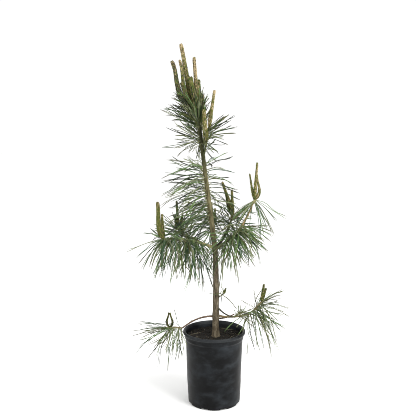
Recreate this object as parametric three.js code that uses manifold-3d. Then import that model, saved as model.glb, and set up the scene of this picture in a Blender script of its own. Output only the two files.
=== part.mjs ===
// A young long-needled pine in a deep black nursery container, as an assembly of closed solids.
// Millimetres, +Z up. The origin is the centre of the container's flat underside, and it is seen from -Y.
// The plant is worked out from named sizes: a trunk, boughs that leave it at a height and a bearing, and
// masses of needles and spring candles that continue the boughs.
// Bearings are in degrees, 0 to the right and 180 to the left.

import * as THREE from "three";
import { mergeVertices } from "three/addons/utils/BufferGeometryUtils.js";
import Module from "manifold-3d";

const wasm = await Module();
wasm.setup();

// Container
const POT_HEIGHT = 238;
const RIM_RADIUS = 100.5;
const BASE_RADIUS = 84;
const COLLAR_RADIUS = 94.5;
const COLLAR_HEIGHT = 26;
const LIP_HEIGHT = 11;
const WALL = 2.4;
const FLOOR = 4;
const POT_SEGMENTS = 36;
const FOOT_CHAMFER = 5;
const DRAIN_NOTCHES = 8;
const DRAIN_NOTCH = { width: 16, height: 4.5, depth: 9 };

// Compost
const SOIL_TOP = POT_HEIGHT - 22;
const SOIL_LUMP = 2.2;
const SOIL_SEGMENTS = 24;

// Trunk
const TRUNK_SIDES = 10;
const TRUNK_FOOT_X = 4.5;
const TRUNK_BEND_HEIGHT = 500;
const TRUNK_BEND_REACH = 30;
const TRUNK_LEAN = 7.6;
const TRUNK_TIP_HEIGHT = 926;
const TRUNK_FOOT_RADIUS = 10.6;
const TRUNK_TIP_RADIUS = 5;
const ROOT_FLARE = 4.5;
const ROOT_FLARE_REACH = 13;
const WHORL_HEIGHTS = [283, 508, 824];
const WHORL_SWELL = 1.6;
const WHORL_REACH = 11;

// Needles and candles
const NEEDLE_RADIUS = 1.5;
const BENT_NEEDLE_ROOT_RADIUS = 0.8;
const NEEDLE_BEND_AT = 0.55;
const BENT_FROM_DROOP = 0.35;
const ROOT_ZONE = 16;
const SHORTEST = 0.6;
const UPWARD_SHORTER = 0.3;
const SPREAD_JITTER = 60;
const WILD_LEAST = 0.45;
const TWIST_JITTER = 200;
const DROOP_SHARE = [0.3, 1.6];
const GOLDEN_ANGLE = 137.508;
const CANDLE_SIDES = 5;
const CANDLE_SINK = 2;

// Limbs
const BOUGH_SIDES = 6;
const BOUGH_STEPS = 5;
const TWIG_SIDES = 3;
const TWIG_STEPS = 3;
const TWIG_SCALE = 1.4;

// Sleeves of needle bases on the trunk
const SLEEVE_THICKNESS = 3.6;
const SLEEVE_STEP = 30;
const SLEEVE_RING_HEIGHT = 54;
const SLEEVE_END = 5;
const SLEEVE_MARGIN = 4;
const NEEDLE_ROOT_DEPTH = 1.2;

// Neighbouring solids keep this gap, measured between their faces' corners with a little over where the
// faces between them are flat. Needles keep clear of each other past their roots by the last one.
const GAP = 0.3;
const GAP_ROUND_TRUNK = 0.4;
const GAP_UNDER_FLAT = 0.45;
const NEEDLE_CLEARANCE = 0.7;
const NEEDLE_OVER_POT = 3;
const NEEDLE_OFF_RIM = 4;
const NEEDLE_OFF_FLOOR = 12;
const TRIES = 6;

const rad = THREE.MathUtils.degToRad;
const UP = new THREE.Vector3(0, 0, 1);
const vec = (x, y, z) => new THREE.Vector3(x, y, z);

// A repeatable stream of numbers from 0 to 1.
function seeded(seed) {
  let state = seed >>> 0;
  return () => {
    state = (state + 0x6d2b79f5) >>> 0;
    let t = state;
    t = Math.imul(t ^ (t >>> 15), t | 1);
    t ^= t + Math.imul(t ^ (t >>> 7), t | 61);
    return ((t ^ (t >>> 14)) >>> 0) / 4294967296;
  };
}

const between = (random, low, high) => low + (high - low) * random();

// The horizontal unit vector of a bearing.
const heading = (bearing) => vec(Math.cos(rad(bearing)), Math.sin(rad(bearing)), 0);

// Trunk centreline and radius at a height: upright to the bend, then one steady lean.
function trunkPoint(z) {
  const over = (z - TRUNK_BEND_HEIGHT) / TRUNK_BEND_REACH;
  const leaning = TRUNK_BEND_REACH * Math.log1p(Math.exp(over));
  const sway = 2 * Math.sin((z - SOIL_TOP) / 95);
  return vec(TRUNK_FOOT_X - Math.tan(rad(TRUNK_LEAN)) * leaning + sway * 0.5, sway, z);
}

function trunkRadius(z) {
  const share = (z - SOIL_TOP) / (TRUNK_TIP_HEIGHT - SOIL_TOP);
  const flare = ROOT_FLARE * Math.exp(-(z - SOIL_TOP) / ROOT_FLARE_REACH);
  const swell = WHORL_HEIGHTS.map((w) => WHORL_SWELL * Math.exp(-(((z - w) / WHORL_REACH) ** 2)));
  const taper = TRUNK_FOOT_RADIUS + (TRUNK_TIP_RADIUS - TRUNK_FOOT_RADIUS) * share;
  return taper + flare + swell.reduce((a, b) => a + b, 0);
}

// Boughs: where they leave the trunk, or the bough they continue, and how far they go.
// arch lifts the middle of the bough above the straight line between its ends.
const BOUGHS = {
  lower_left_bough: { height: 281, bearing: 184, reach: 108, rise: -36, arch: 13, thick: 3.0, thin: 2.2 },
  lower_right_bough: { height: 285, bearing: 357, reach: 93, rise: 1, arch: -5, thick: 3.2, thin: 2.6 },
  lower_right_upper_bough: {
    height: 318, bearing: 335, reach: 62, rise: -29, arch: -9, thick: 2.4, thin: 1.9,
  },
  lower_right_rear_bough: { height: 276, bearing: 22, reach: 66, rise: 6, arch: -6, thick: 2.2, thin: 1.8 },
  mid_left_bough: { height: 504, bearing: 192, reach: 40, rise: 18, arch: 1, thick: 5.0, thin: 4.4 },
  mid_left_rear_bough: { height: 508, bearing: 140, reach: 92, rise: 20, arch: -4, thick: 4.6, thin: 3.4 },
  mid_right_bough: { height: 500, bearing: 340, reach: 22, rise: 18, arch: -1, thick: 5.2, thin: 4.6 },
  mid_right_outer_bough: {
    from: "mid_right_needles", bearing: 341, reach: 31, rise: 66, arch: -3, thick: 3.4, thin: 2.8,
  },
  mid_right_rear_bough: { height: 506, bearing: 42, reach: 38, rise: 26, arch: -3, thick: 4.8, thin: 3.8 },
  mid_rear_bough: { height: 519, bearing: 94, reach: 70, rise: 24, arch: -4, thick: 4.2, thin: 3.2 },
};

// Masses: a stem that carries on from a bough's tip or the trunk, its needle zones, and its candles.
// A zone runs from and to shares of the stem. spread is the needles' angle from the stem at its two ends,
// droop bends them down, and highest is the steepest upward way they set off, as a share of straight up.
// facing and window, where given, are the bearing that they keep to and how far they may turn from it.
// A candle leans out by reach and climbs by rise, and bow is how far it swings out low down.
const MASSES = {
  lower_left_needles: {
    from: "lower_left_bough", bearing: 187, reach: 42, rise: 4, arch: 2, thick: 2.2, thin: 1.8, seed: 11,
    zones: [
      { from: 0, to: 1, count: 22, length: 118, spread: [100, 66], droop: 0.3, highest: 0.1 },
      { from: 0.6, to: 1, count: 11, length: 136, spread: [38, 8], droop: 0.04, highest: 0.14 },
    ],
    candles: [
      { bearing: 175, reach: 3.4, rise: 48, bow: 17, radius: 2.4 },
      { bearing: 355, reach: 1.2, rise: 48, bow: 46, radius: 2.4 },
    ],
  },
  lower_right_needles: {
    from: "lower_right_bough", bearing: 352, reach: 54, rise: 50, arch: -7, thick: 2.6, thin: 2.1,
    seed: 12,
    zones: [
      { from: 0.16, to: 0.9, count: 34, length: 116, spread: [108, 76], droop: 0.4, highest: 0 },
      { from: 0.5, to: 1, count: 20, length: 118, spread: [84, 14], droop: 0.1, highest: 0.6 },
    ],
    candles: [
      { bearing: 350, reach: 7, rise: 56, bow: 0, radius: 3.4 },
      { bearing: 10, reach: 15, rise: 42, bow: 0, radius: 3.2 },
    ],
  },
  lower_right_side_needles: {
    from: "lower_right_upper_bough", bearing: 348, reach: 26, rise: 14, arch: 0, thick: 1.9, thin: 1.6,
    seed: 13,
    zones: [{ from: 0.2, to: 1, count: 12, length: 66, spread: [50, 30], droop: 0.22 }],
    candles: [],
  },
  trunk_tuft_needles: {
    height: 338, bearing: 345, reach: 26, rise: 20, arch: 0, thick: 1.9, thin: 1.6, seed: 14,
    zones: [{ from: 0.6, to: 1, count: 5, length: 60, spread: [80, 40], droop: 0.3 }],
    candles: [{ bearing: 345, reach: 8, rise: 19, bow: 0, radius: 2.6 }],
  },
  mid_left_needles: {
    from: "mid_left_bough", bearing: 196, reach: 128, rise: 22, arch: 6, thick: 3.6, thin: 2.6, seed: 203,
    zones: [
      { from: 0, to: 0.42, count: 20, length: 112, spread: [122, 90], droop: 0.5, highest: -0.2 },
      { from: 0.3, to: 1, count: 42, length: 118, spread: [112, 66], droop: 0.4, highest: 0.5 },
      {
        from: 0.1, to: 0.98, count: 14, length: 118, spread: [86, 66], droop: 0.5, highest: 0.3,
        facing: 262, window: 56,
      },
      {
        from: 0.8, to: 1, count: 4, length: 124, spread: [60, 34], droop: 0.4, highest: 0,
        facing: 190, window: 44,
      },
      { from: 0.88, to: 1, count: 6, length: 66, spread: [66, 34], droop: 0, facing: 180, window: 60 },
    ],
    candles: [
      { bearing: 200, reach: 17, rise: 114, bow: 2.8, radius: 5.8 },
      { bearing: 190, reach: 3, rise: 76, bow: -0.6, radius: 3.6 },
    ],
  },
  mid_left_rear_needles: {
    from: "mid_left_rear_bough", bearing: 137, reach: 68, rise: 18, arch: -9, thick: 3.4, thin: 2.8,
    seed: 22,
    zones: [
      { from: 0.16, to: 0.9, count: 28, length: 108, spread: [96, 56], droop: 0.3 },
      { from: 0.6, to: 1, count: 20, length: 112, spread: [66, 14], droop: 0.06 },
    ],
    candles: [
      { bearing: 180, reach: 6, rise: 98, bow: 0, radius: 3.4 },
      { bearing: 188, reach: 12, rise: 50, bow: 1.6, radius: 3.6 },
      { bearing: 5, reach: 14, rise: 52, bow: 1.6, radius: 3.6 },
    ],
  },
  mid_right_needles: {
    from: "mid_right_bough", bearing: 342, reach: 68, rise: 66, arch: -4, thick: 3.8, thin: 3.2,
    seed: 223,
    zones: [
      { from: 0.08, to: 0.8, count: 18, length: 112, spread: [116, 90], droop: 0.5, highest: -0.1 },
      { from: 0.34, to: 1, count: 34, length: 122, spread: [106, 58], droop: 0.34, highest: 0.5 },
      {
        from: 0.6, to: 1, count: 12, length: 118, spread: [84, 44], droop: 0.3, highest: 0.1,
        facing: 345, window: 50,
      },
      {
        from: 0.08, to: 0.96, count: 16, length: 112, spread: [84, 56], droop: 0.42, highest: 0.4,
        facing: 290, window: 56,
      },
    ],
    candles: [],
  },
  mid_right_tip_needles: {
    from: "mid_right_outer_bough", bearing: 345, reach: 8, rise: 16, arch: 0, thick: 3.0, thin: 2.8,
    seed: 24,
    zones: [
      {
        from: 0.1, to: 1, count: 24, length: 122, spread: [140, 110], droop: 0.24, highest: -0.3,
        facing: 350, window: 28,
      },
      {
        from: 0.1, to: 1, count: 11, length: 104, spread: [146, 128], droop: 0.2, highest: -0.4,
        facing: 196, window: 24,
      },
      {
        from: 0.1, to: 1, count: 4, length: 86, spread: [126, 106], droop: 0.4, highest: -0.1,
        facing: 95, window: 40,
      },
    ],
    candles: [
      { bearing: 340, reach: 7, rise: 115, bow: -1, radius: 3.4 },
      { bearing: 175, reach: 16, rise: 80, bow: 0.8, radius: 2.5 },
      { bearing: 0, reach: 7, rise: 76, bow: 11, radius: 3 },
    ],
  },
  mid_right_rear_needles: {
    from: "mid_right_rear_bough", bearing: 48, reach: 46, rise: 70, arch: -6, thick: 3.8, thin: 3.2,
    seed: 25,
    zones: [{ from: 0.3, to: 1, count: 38, length: 112, spread: [112, 50], droop: 0.28 }],
    candles: [
      { bearing: 182, reach: 34, rise: 110, bow: -0.6, radius: 4.2 },
      { bearing: 178, reach: 24, rise: 78, bow: 1.6, radius: 3.2 },
      { bearing: 180, reach: 3, rise: 84, bow: 0, radius: 4 },
    ],
  },
  mid_rear_needles: {
    from: "mid_rear_bough", bearing: 92, reach: 52, rise: 24, arch: -4, thick: 3.2, thin: 2.6, seed: 226,
    zones: [
      { from: 0.3, to: 1, count: 30, length: 112, spread: [100, 48], droop: 0.3 },
      { from: 0.8, to: 1, count: 8, length: 112, spread: [24, 8], droop: 0.1 },
    ],
    candles: [
      { bearing: 110, reach: 8, rise: 66, bow: 1.2, radius: 4.2 },
      { bearing: 30, reach: 12, rise: 48, bow: 2, radius: 3.8 },
    ],
  },
  upper_right_needles: {
    height: 828, bearing: 352, reach: 23, rise: 60, arch: -9, thick: 3.8, thin: 3.4, seed: 31,
    zones: [
      {
        from: 0.6, to: 1, count: 14, length: 122, spread: [64, 40], droop: 0, highest: 0.66,
        facing: 355, window: 60,
      },
      {
        from: 0.35, to: 0.7, count: 5, length: 96, spread: [78, 60], droop: 0.3, highest: 0.4,
        facing: 0, window: 50,
      },
    ],
    candles: [{ bearing: 350, reach: 17, rise: 112, bow: 0, radius: 4.2 }],
  },
  upper_front_needles: {
    height: 797, bearing: 302, reach: 21, rise: 48, arch: -8, thick: 3.4, thin: 3.0, seed: 32,
    zones: [
      {
        from: 0.5, to: 1, count: 10, length: 70, spread: [56, 26], droop: 0.04,
        facing: 320, window: 80,
      },
    ],
    candles: [{ bearing: 196, reach: 9, rise: 96, bow: 0.8, radius: 5.8 }],
  },
  upper_rear_needles: {
    height: 824, bearing: 105, reach: 26, rise: 48, arch: -9, thick: 4.0, thin: 3.2, seed: 33,
    zones: [
      {
        from: 0.4, to: 1, count: 16, length: 98, spread: [88, 46], droop: 0.16,
        facing: 95, window: 100,
      },
    ],
    candles: [{ bearing: 100, reach: 10, rise: 92, bow: 0.4, radius: 5 }],
  },
};

// The leader above the trunk's tip: a short stem with a whorl of candles and upright needles.
const LEADER = {
  name: "leader_needles", reach: 3, rise: 16, thick: 4.8, thin: 4.4, seed: 41,
  zones: [
    { from: 0, to: 0.95, count: 14, length: 124, spread: [58, 34], droop: 0, facing: 185, window: 100 },
    { from: 0, to: 1, count: 34, length: 112, spread: [44, 12], droop: 0 },
  ],
  candles: [
    { bearing: 180, reach: 50, rise: 203, bow: 1, radius: 6.2 },
    { bearing: 194, reach: 79, rise: 150, bow: 2.2, radius: 6 },
    { bearing: 204, reach: 58, rise: 153, bow: 2.2, radius: 4.8 },
    { bearing: 239, reach: 18, rise: 162, bow: -1, radius: 5.4 },
    { bearing: 231, reach: 31, rise: 102, bow: 1, radius: 6.6 },
    { bearing: 76, reach: 19, rise: 96, bow: 1, radius: 5.4 },
    { bearing: 153, reach: 57, rise: 87, bow: 1, radius: 5 },
    { bearing: 95, reach: 26, rise: 84, bow: 1.2, radius: 5.4 },
    { bearing: 43, reach: 24, rise: 50, bow: 1, radius: 4.8 },
  ],
};

// Masses round the trunk: a thin sleeve of needle bases over part of its girth, between two bearings.
const TRUNK_MASSES = {
  stem_left_needles: {
    bottom: 590, top: 768, from: 100, to: 244, count: 58, length: 146, spread: [104, 70], droop: 0.28, seed: 51,
  },
  stem_right_needles: {
    bottom: 600, top: 776, from: -28, to: 40, count: 10, length: 112, spread: [124, 76], droop: 0.3, seed: 52,
  },
  stem_rear_needles: {
    bottom: 590, top: 780, from: 48, to: 92, count: 16, length: 108, spread: [116, 70], droop: 0.3, seed: 53,
  },
  upper_left_needles: {
    bottom: 834, top: 866, from: 130, to: 282, count: 13, length: 138, spread: [88, 34], droop: 0.12, seed: 57,
  },
  top_left_needles: {
    bottom: 882, top: 920, from: 134, to: 276, count: 44, length: 158, spread: [62, 28], droop: 0.06, seed: 54,
  },
  top_rear_needles: {
    bottom: 876, top: 920, from: 70, to: 126, count: 16, length: 104, spread: [80, 44], droop: 0.1, seed: 56,
  },
  top_right_needles: {
    bottom: 884, top: 920, from: -76, to: 62, count: 24, length: 112, spread: [30, 14], droop: 0, seed: 55,
  },
};

const COLOURS = {
  plastic: new THREE.MeshStandardMaterial({ color: 0x26292b, roughness: 0.55, metalness: 0 }),
  compost: new THREE.MeshStandardMaterial({ color: 0x241c15, roughness: 0.95, metalness: 0 }),
  bark: new THREE.MeshStandardMaterial({ color: 0x6f5a3c, roughness: 0.9, metalness: 0 }),
  twig: new THREE.MeshStandardMaterial({ color: 0x8c7443, roughness: 0.85, metalness: 0 }),
  needles: new THREE.MeshStandardMaterial({ color: 0x37492c, roughness: 0.6, metalness: 0 }),
};

// Turns a closed geometry into a solid that can be joined and cut.
function solidOf(geometry) {
  const bare = new THREE.BufferGeometry().setAttribute("position", geometry.getAttribute("position"));
  if (geometry.index) bare.setIndex(geometry.index);
  const merged = mergeVertices(bare, 1e-3);
  return new wasm.Manifold(
    new wasm.Mesh({
      numProp: 3,
      vertProperties: new Float32Array(merged.attributes.position.array),
      triVerts: new Uint32Array(merged.index.array),
    }),
  );
}

// Joins many solids in pairs, which keeps each join small.
function joinAll(solids) {
  let list = solids;
  while (list.length > 1) {
    const next = [];
    for (let i = 0; i < list.length; i += 2) {
      next.push(i + 1 < list.length ? list[i].add(list[i + 1]) : list[i]);
    }
    list = next;
  }
  return list[0];
}

// Joining needles can seal a hollow between them or leave a scrap: the largest body alone is the filled whole.
function wholeBody(solid) {
  return solid.decompose().reduce((largest, body) => (body.volume() > largest.volume() ? body : largest));
}

function geometryOf(solid) {
  const { vertProperties, triVerts, numProp } = solid.getMesh();
  const positions = new Float32Array((vertProperties.length / numProp) * 3);
  for (let i = 0; i < positions.length / 3; i++) {
    positions.set(vertProperties.subarray(i * numProp, i * numProp + 3), i * 3);
  }
  const geometry = new THREE.BufferGeometry();
  geometry.setAttribute("position", new THREE.BufferAttribute(positions, 3));
  geometry.setIndex(new THREE.BufferAttribute(triVerts, 1));
  geometry.computeVertexNormals();
  return geometry;
}

// A closed tapering tube through points, with one radius a point.
// Its first ring faces the way it is told, if it is told.
function tube(points, radii, sides, firstFacing = null) {
  const positions = [];
  const index = [];
  const rings = points.length;
  let across = null;
  for (let i = 0; i < rings; i++) {
    const before = points[Math.max(i - 1, 0)];
    const after = points[Math.min(i + 1, rings - 1)];
    const forward = i === 0 && firstFacing ? firstFacing : after.clone().sub(before).normalize();
    if (!across) across = Math.abs(forward.z) > 0.9 ? vec(1, 0, 0) : UP.clone();
    across = across.clone().addScaledVector(forward, -across.dot(forward)).normalize();
    const third = forward.clone().cross(across);
    for (let k = 0; k < sides; k++) {
      const a = (2 * Math.PI * k) / sides;
      const p = points[i].clone();
      p.addScaledVector(across, radii[i] * Math.cos(a));
      p.addScaledVector(third, radii[i] * Math.sin(a));
      positions.push(p.x, p.y, p.z);
    }
  }
  for (let i = 0; i + 1 < rings; i++) {
    for (let k = 0; k < sides; k++) {
      const a = i * sides + k;
      const b = i * sides + ((k + 1) % sides);
      index.push(a, b, b + sides, a, b + sides, a + sides);
    }
  }
  const last = (rings - 1) * sides;
  for (let k = 1; k + 1 < sides; k++) index.push(0, k + 1, k, last, last + k, last + k + 1);
  const geometry = new THREE.BufferGeometry();
  geometry.setAttribute("position", new THREE.BufferAttribute(new Float32Array(positions), 3));
  geometry.setIndex(index);
  return geometry;
}

// The curve of a bough or stem from its start, as a function of the share along it.
function limbCurve(start, { bearing, reach, rise, arch }) {
  const chord = heading(bearing).multiplyScalar(reach).setZ(rise);
  return (t) => start.clone().addScaledVector(chord, t).addScaledVector(UP, 4 * arch * t * (1 - t));
}

// A candle leaves its whorl outwards and straightens up.
function candleCurve(start, { bearing, reach, rise, bow }) {
  const out = heading(bearing);
  return (t) => {
    const lateral = reach * (t + bow * t * (1 - t) ** 2);
    return start.clone().addScaledVector(out, lateral).addScaledVector(UP, rise * t);
  };
}

function along(curve, t) {
  const step = 0.02;
  return curve(Math.min(t + step, 1)).sub(curve(Math.max(t - step, 0))).normalize();
}

function samples(curve, steps) {
  return Array.from({ length: steps + 1 }, (_, i) => curve(i / steps));
}

// Everything already placed, as straight pieces with a radius, so that new needles can keep clear of it.
const placed = [];

function place(owner, points, radii, kind) {
  for (let i = 0; i + 1 < points.length; i++) {
    placed.push({ owner, kind, a: points[i], b: points[i + 1], r: Math.max(radii[i], radii[i + 1]) });
  }
}

function segmentDistance(p1, q1, p2, q2) {
  const d1 = q1.clone().sub(p1);
  const d2 = q2.clone().sub(p2);
  const r = p1.clone().sub(p2);
  const a = d1.dot(d1);
  const e = d2.dot(d2);
  const b = d1.dot(d2);
  const c = d1.dot(r);
  const f = d2.dot(r);
  const clamp = (x) => THREE.MathUtils.clamp(x, 0, 1);
  const denominator = a * e - b * b;
  let s = denominator > 1e-9 ? clamp((b * f - c * e) / denominator) : 0;
  let t = (b * s + f) / e;
  if (t < 0 || t > 1) {
    t = clamp(t);
    s = clamp((b * t - c) / a);
  }
  return p1.clone().addScaledVector(d1, s).distanceTo(p2.clone().addScaledVector(d2, t));
}

// A needle clears a placed piece when it keeps the gap. Its own stem and candles are fused to it.
// Only the part past its root has to clear its own mass's needles, or the trunk under its sleeve.
function clears(owner, points, grownOn = []) {
  return placed.every((piece) => {
    const own = piece.owner === owner;
    if (own && piece.kind !== "needle") return true;
    const route = own || grownOn.includes(piece.owner) ? pastRoot(points) : points;
    const room = NEEDLE_RADIUS + piece.r + (own ? 0 : NEEDLE_CLEARANCE);
    return route.slice(1).every((end, i) => segmentDistance(route[i], end, piece.a, piece.b) > room);
  });
}

// A needle's route without the first stretch, where its neighbours crowd round the same stem.
function pastRoot(points) {
  const share = ROOT_ZONE / points[0].distanceTo(points[1]);
  return [points[0].clone().lerp(points[1], share), ...points.slice(1)];
}

function placeNeedle(owner, points) {
  const route = pastRoot(points);
  place(owner, [points[0], route[0]], [NEEDLE_RADIUS, NEEDLE_RADIUS], "root");
  place(owner, route, route.map(() => NEEDLE_RADIUS), "needle");
}

// One needle: it sets off at an angle from its stem and bends down. A slight bend is left straight.
// Each takes its own share of its zone's length and droop, and those that rise are shorter.
function needlePoints(root, direction, { length, droop }, random, canBend) {
  const rising = UPWARD_SHORTER * Math.max(direction.z, 0);
  const reach = length * between(random, SHORTEST, 1) * (1 - rising);
  const fall = reach * droop * between(random, ...DROOP_SHARE);
  const shares = canBend && droop > BENT_FROM_DROOP ? [0, NEEDLE_BEND_AT, 1] : [0, 1];
  return shares.map((s) =>
    root.clone().addScaledVector(direction, reach * s).addScaledVector(UP, -fall * s * s),
  );
}

// The angle from the stem at a share along a zone, wilder where the needles are limp.
function spreadAt({ spread, droop }, share, random) {
  const wild = SPREAD_JITTER * (WILD_LEAST + droop);
  return spread[0] + (spread[1] - spread[0]) * share + wild * between(random, -0.5, 0.5);
}

// Turns the stem's direction by spread towards a side that is twist round it.
function spreadDirection(stem, spread, twist) {
  const first = (Math.abs(stem.z) > 0.9 ? vec(1, 0, 0) : UP.clone()).cross(stem).normalize();
  const second = stem.clone().cross(first);
  const side = first.multiplyScalar(Math.cos(rad(twist))).addScaledVector(second, Math.sin(rad(twist)));
  return stem.clone().multiplyScalar(Math.cos(rad(spread))).addScaledVector(side, Math.sin(rad(spread)));
}

const bearingOf = (v) => THREE.MathUtils.radToDeg(Math.atan2(v.y, v.x));
const turnBetween = (a, b) => Math.abs(THREE.MathUtils.euclideanModulo(a - b + 180, 360) - 180);

// Whether a direction keeps to its zone's steepness and bearing.
function allowed(direction, { highest = 1, facing, window }) {
  return direction.z <= highest && (!window || turnBetween(bearingOf(direction), facing) <= window);
}

// The needles of one zone of a stem, but for those that face the wrong way or have no room.
function zoneNeedles(owner, curve, zone, random) {
  const made = [];
  for (let i = 0; i < zone.count; i++) {
    for (let attempt = 0; attempt < TRIES; attempt++) {
      const share = (i + random()) / zone.count;
      const t = zone.from + (zone.to - zone.from) * share;
      const twist = (i + attempt) * GOLDEN_ANGLE + random() * TWIST_JITTER;
      const direction = spreadDirection(along(curve, t), spreadAt(zone, share, random), twist);
      if (!allowed(direction, zone)) continue;
      const points = needlePoints(curve(t), direction, zone, random, true);
      if (!inOpenAir(points) || !clears(owner, points)) continue;
      made.push(points);
      placeNeedle(owner, points);
      break;
    }
  }
  return made;
}

// Needles end above the floor that the container stands on, and outside its wall and compost.
function inOpenAir(points) {
  return points.slice(1).every((p) => {
    const beside = Math.hypot(p.x, p.y) > RIM_RADIUS + NEEDLE_OFF_RIM;
    return p.z > POT_HEIGHT + NEEDLE_OVER_POT || (beside && p.z > NEEDLE_OFF_FLOOR);
  });
}

// A three-sided needle that ends in a point: straight from its root, or through a triangle at its bend.
function needleSolid(points) {
  const [root, next] = points;
  const direction = next.clone().sub(root).normalize();
  const across = (Math.abs(direction.z) > 0.9 ? vec(1, 0, 0) : UP.clone()).cross(direction).normalize();
  const third = direction.clone().cross(across);
  const corner = (centre, radius, a) =>
    centre
      .clone()
      .addScaledVector(across, radius * Math.cos(a))
      .addScaledVector(third, radius * Math.sin(a));
  const ring = (centre, radius) => [0, 1, 2].map((k) => corner(centre, radius, (2 * Math.PI * k) / 3));
  const geometry = new THREE.BufferGeometry();
  if (points.length === 2) {
    geometry.setFromPoints([...ring(root, NEEDLE_RADIUS), next]);
    geometry.setIndex([0, 2, 1, 0, 1, 3, 1, 2, 3, 2, 0, 3]);
  } else {
    const rings = [...ring(root, BENT_NEEDLE_ROOT_RADIUS), ...ring(next, NEEDLE_RADIUS)];
    const sides = [0, 1, 4, 0, 4, 3, 1, 2, 5, 1, 5, 4, 2, 0, 3, 2, 3, 5];
    const point = [3, 4, 6, 4, 5, 6, 5, 3, 6];
    geometry.setFromPoints([...rings, points[2]]);
    geometry.setIndex([0, 2, 1, ...sides, ...point]);
  }
  return solidOf(geometry);
}

function candleSolid(owner, start, candle) {
  const curve = candleCurve(start, candle);
  const points = [0, 0.4, 0.93, 1].map(curve);
  const radii = [0.8, 1, 0.8, 0.35].map((share) => share * candle.radius);
  place(owner, points, radii, "candle");
  return solidOf(tube(points, radii, CANDLE_SIDES));
}

// Container: a thin tapering wall with a collar and a rolled lip, on a foot with drain notches.
function makePot() {
  const wallTop = POT_HEIGHT - COLLAR_HEIGHT;
  const outer = [
    [BASE_RADIUS - FOOT_CHAMFER, 0],
    [BASE_RADIUS, FOOT_CHAMFER],
    [COLLAR_RADIUS - 2.5, wallTop - 2],
    [COLLAR_RADIUS, wallTop + 2],
    [COLLAR_RADIUS + 0.8, POT_HEIGHT - LIP_HEIGHT],
    [RIM_RADIUS - 1.5, POT_HEIGHT - LIP_HEIGHT + 1],
    [RIM_RADIUS, POT_HEIGHT - LIP_HEIGHT / 2],
    [RIM_RADIUS - 1.8, POT_HEIGHT - 1.2],
    [RIM_RADIUS - 4, POT_HEIGHT],
  ];
  const inner = [
    [COLLAR_RADIUS - WALL, POT_HEIGHT - 2],
    [COLLAR_RADIUS - WALL, wallTop + 2],
    [COLLAR_RADIUS - 2.5 - WALL, wallTop - 2],
    [BASE_RADIUS - WALL, FLOOR + 2],
    [BASE_RADIUS - WALL - 2, FLOOR],
  ];
  const profile = [[0, 0], ...outer, ...inner, [0, FLOOR]].map(([r, z]) => new THREE.Vector2(r, z));
  const lathe = new THREE.LatheGeometry(profile, POT_SEGMENTS).rotateX(Math.PI / 2);
  let pot = solidOf(lathe);
  for (let i = 0; i < DRAIN_NOTCHES; i++) {
    const notch = new THREE.BoxGeometry(DRAIN_NOTCH.depth * 2, DRAIN_NOTCH.width, DRAIN_NOTCH.height * 2);
    notch.translate(BASE_RADIUS, 0, 0);
    notch.rotateZ((2 * Math.PI * (i + 0.5)) / DRAIN_NOTCHES);
    pot = pot.subtract(solidOf(notch));
  }
  return pot;
}

// Compost: fills the container to a little under the lip, lumpy on top and flat where the trunk stands.
function makeSoil() {
  const wallTop = POT_HEIGHT - COLLAR_HEIGHT;
  const inside = WALL + GAP_UNDER_FLAT;
  const profile = [
    [0, FLOOR + GAP],
    [BASE_RADIUS - inside - 2.4, FLOOR + GAP],
    [BASE_RADIUS - inside, FLOOR + 2.4],
    [COLLAR_RADIUS - 2.5 - inside, wallTop - 2],
    [COLLAR_RADIUS - inside - 0.4, SOIL_TOP - 1],
    [72, SOIL_TOP + 1.4],
    [46, SOIL_TOP + 0.8],
    [22, SOIL_TOP],
    [0, SOIL_TOP],
  ].map(([r, z]) => new THREE.Vector2(r, z));
  const lathe = new THREE.LatheGeometry(profile, SOIL_SEGMENTS).rotateX(Math.PI / 2);
  const position = lathe.getAttribute("position");
  for (let i = 0; i < position.count; i++) {
    const x = position.getX(i);
    const y = position.getY(i);
    const outward = Math.hypot(x, y);
    if (position.getZ(i) < SOIL_TOP + 0.5 || outward < 30) continue;
    position.setZ(i, position.getZ(i) + SOIL_LUMP * Math.sin(x * 0.13 + 1) * Math.cos(y * 0.11 + x * 0.05));
  }
  return solidOf(lathe);
}

function spaced(first, last, steps) {
  return Array.from({ length: steps + 1 }, (_, i) => first + ((last - first) * i) / steps);
}

// Ring corners round the trunk's centreline at a height, in level rings so that its foot is cut flat.
function trunkRing(z, extra) {
  const r = trunkRadius(z) + extra;
  return Array.from({ length: TRUNK_SIDES }, (_, k) => {
    const a = (2 * Math.PI * k) / TRUNK_SIDES;
    return trunkPoint(z).add(vec(r * Math.cos(a), r * Math.sin(a), 0));
  });
}

// Rows of points, each row a closed loop in the same order, joined into one closed body.
function loft(rows) {
  const size = rows[0].length;
  const positions = rows.flat().flatMap((p) => [p.x, p.y, p.z]);
  const index = [];
  for (let i = 0; i + 1 < rows.length; i++) {
    for (let k = 0; k < size; k++) {
      const a = i * size + k;
      const b = i * size + ((k + 1) % size);
      index.push(a, b, b + size, a, b + size, a + size);
    }
  }
  const last = (rows.length - 1) * size;
  const caps = THREE.ShapeUtils.triangulateShape(rows[0].map((p) => new THREE.Vector2(p.x, p.y)), []);
  for (const [a, b, c] of caps) index.push(a, c, b, last + a, last + b, last + c);
  const geometry = new THREE.BufferGeometry();
  geometry.setAttribute("position", new THREE.BufferAttribute(new Float32Array(positions), 3));
  geometry.setIndex(index);
  return geometry;
}

// Ring heights of the trunk: close together where the root flares, and at each whorl's swelling.
const TRUNK_HEIGHTS = [
  ...[0, 4, 10, 20, 34].map((h) => SOIL_TOP + GAP + h),
  ...WHORL_HEIGHTS.flatMap((w) => [-2, -0.5, 0.5, 2].map((share) => w + share * WHORL_REACH)),
  ...spaced(330, 460, 2),
  ...spaced(560, 770, 5),
  ...spaced(860, TRUNK_TIP_HEIGHT, 3),
].sort((a, b) => a - b);

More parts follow.
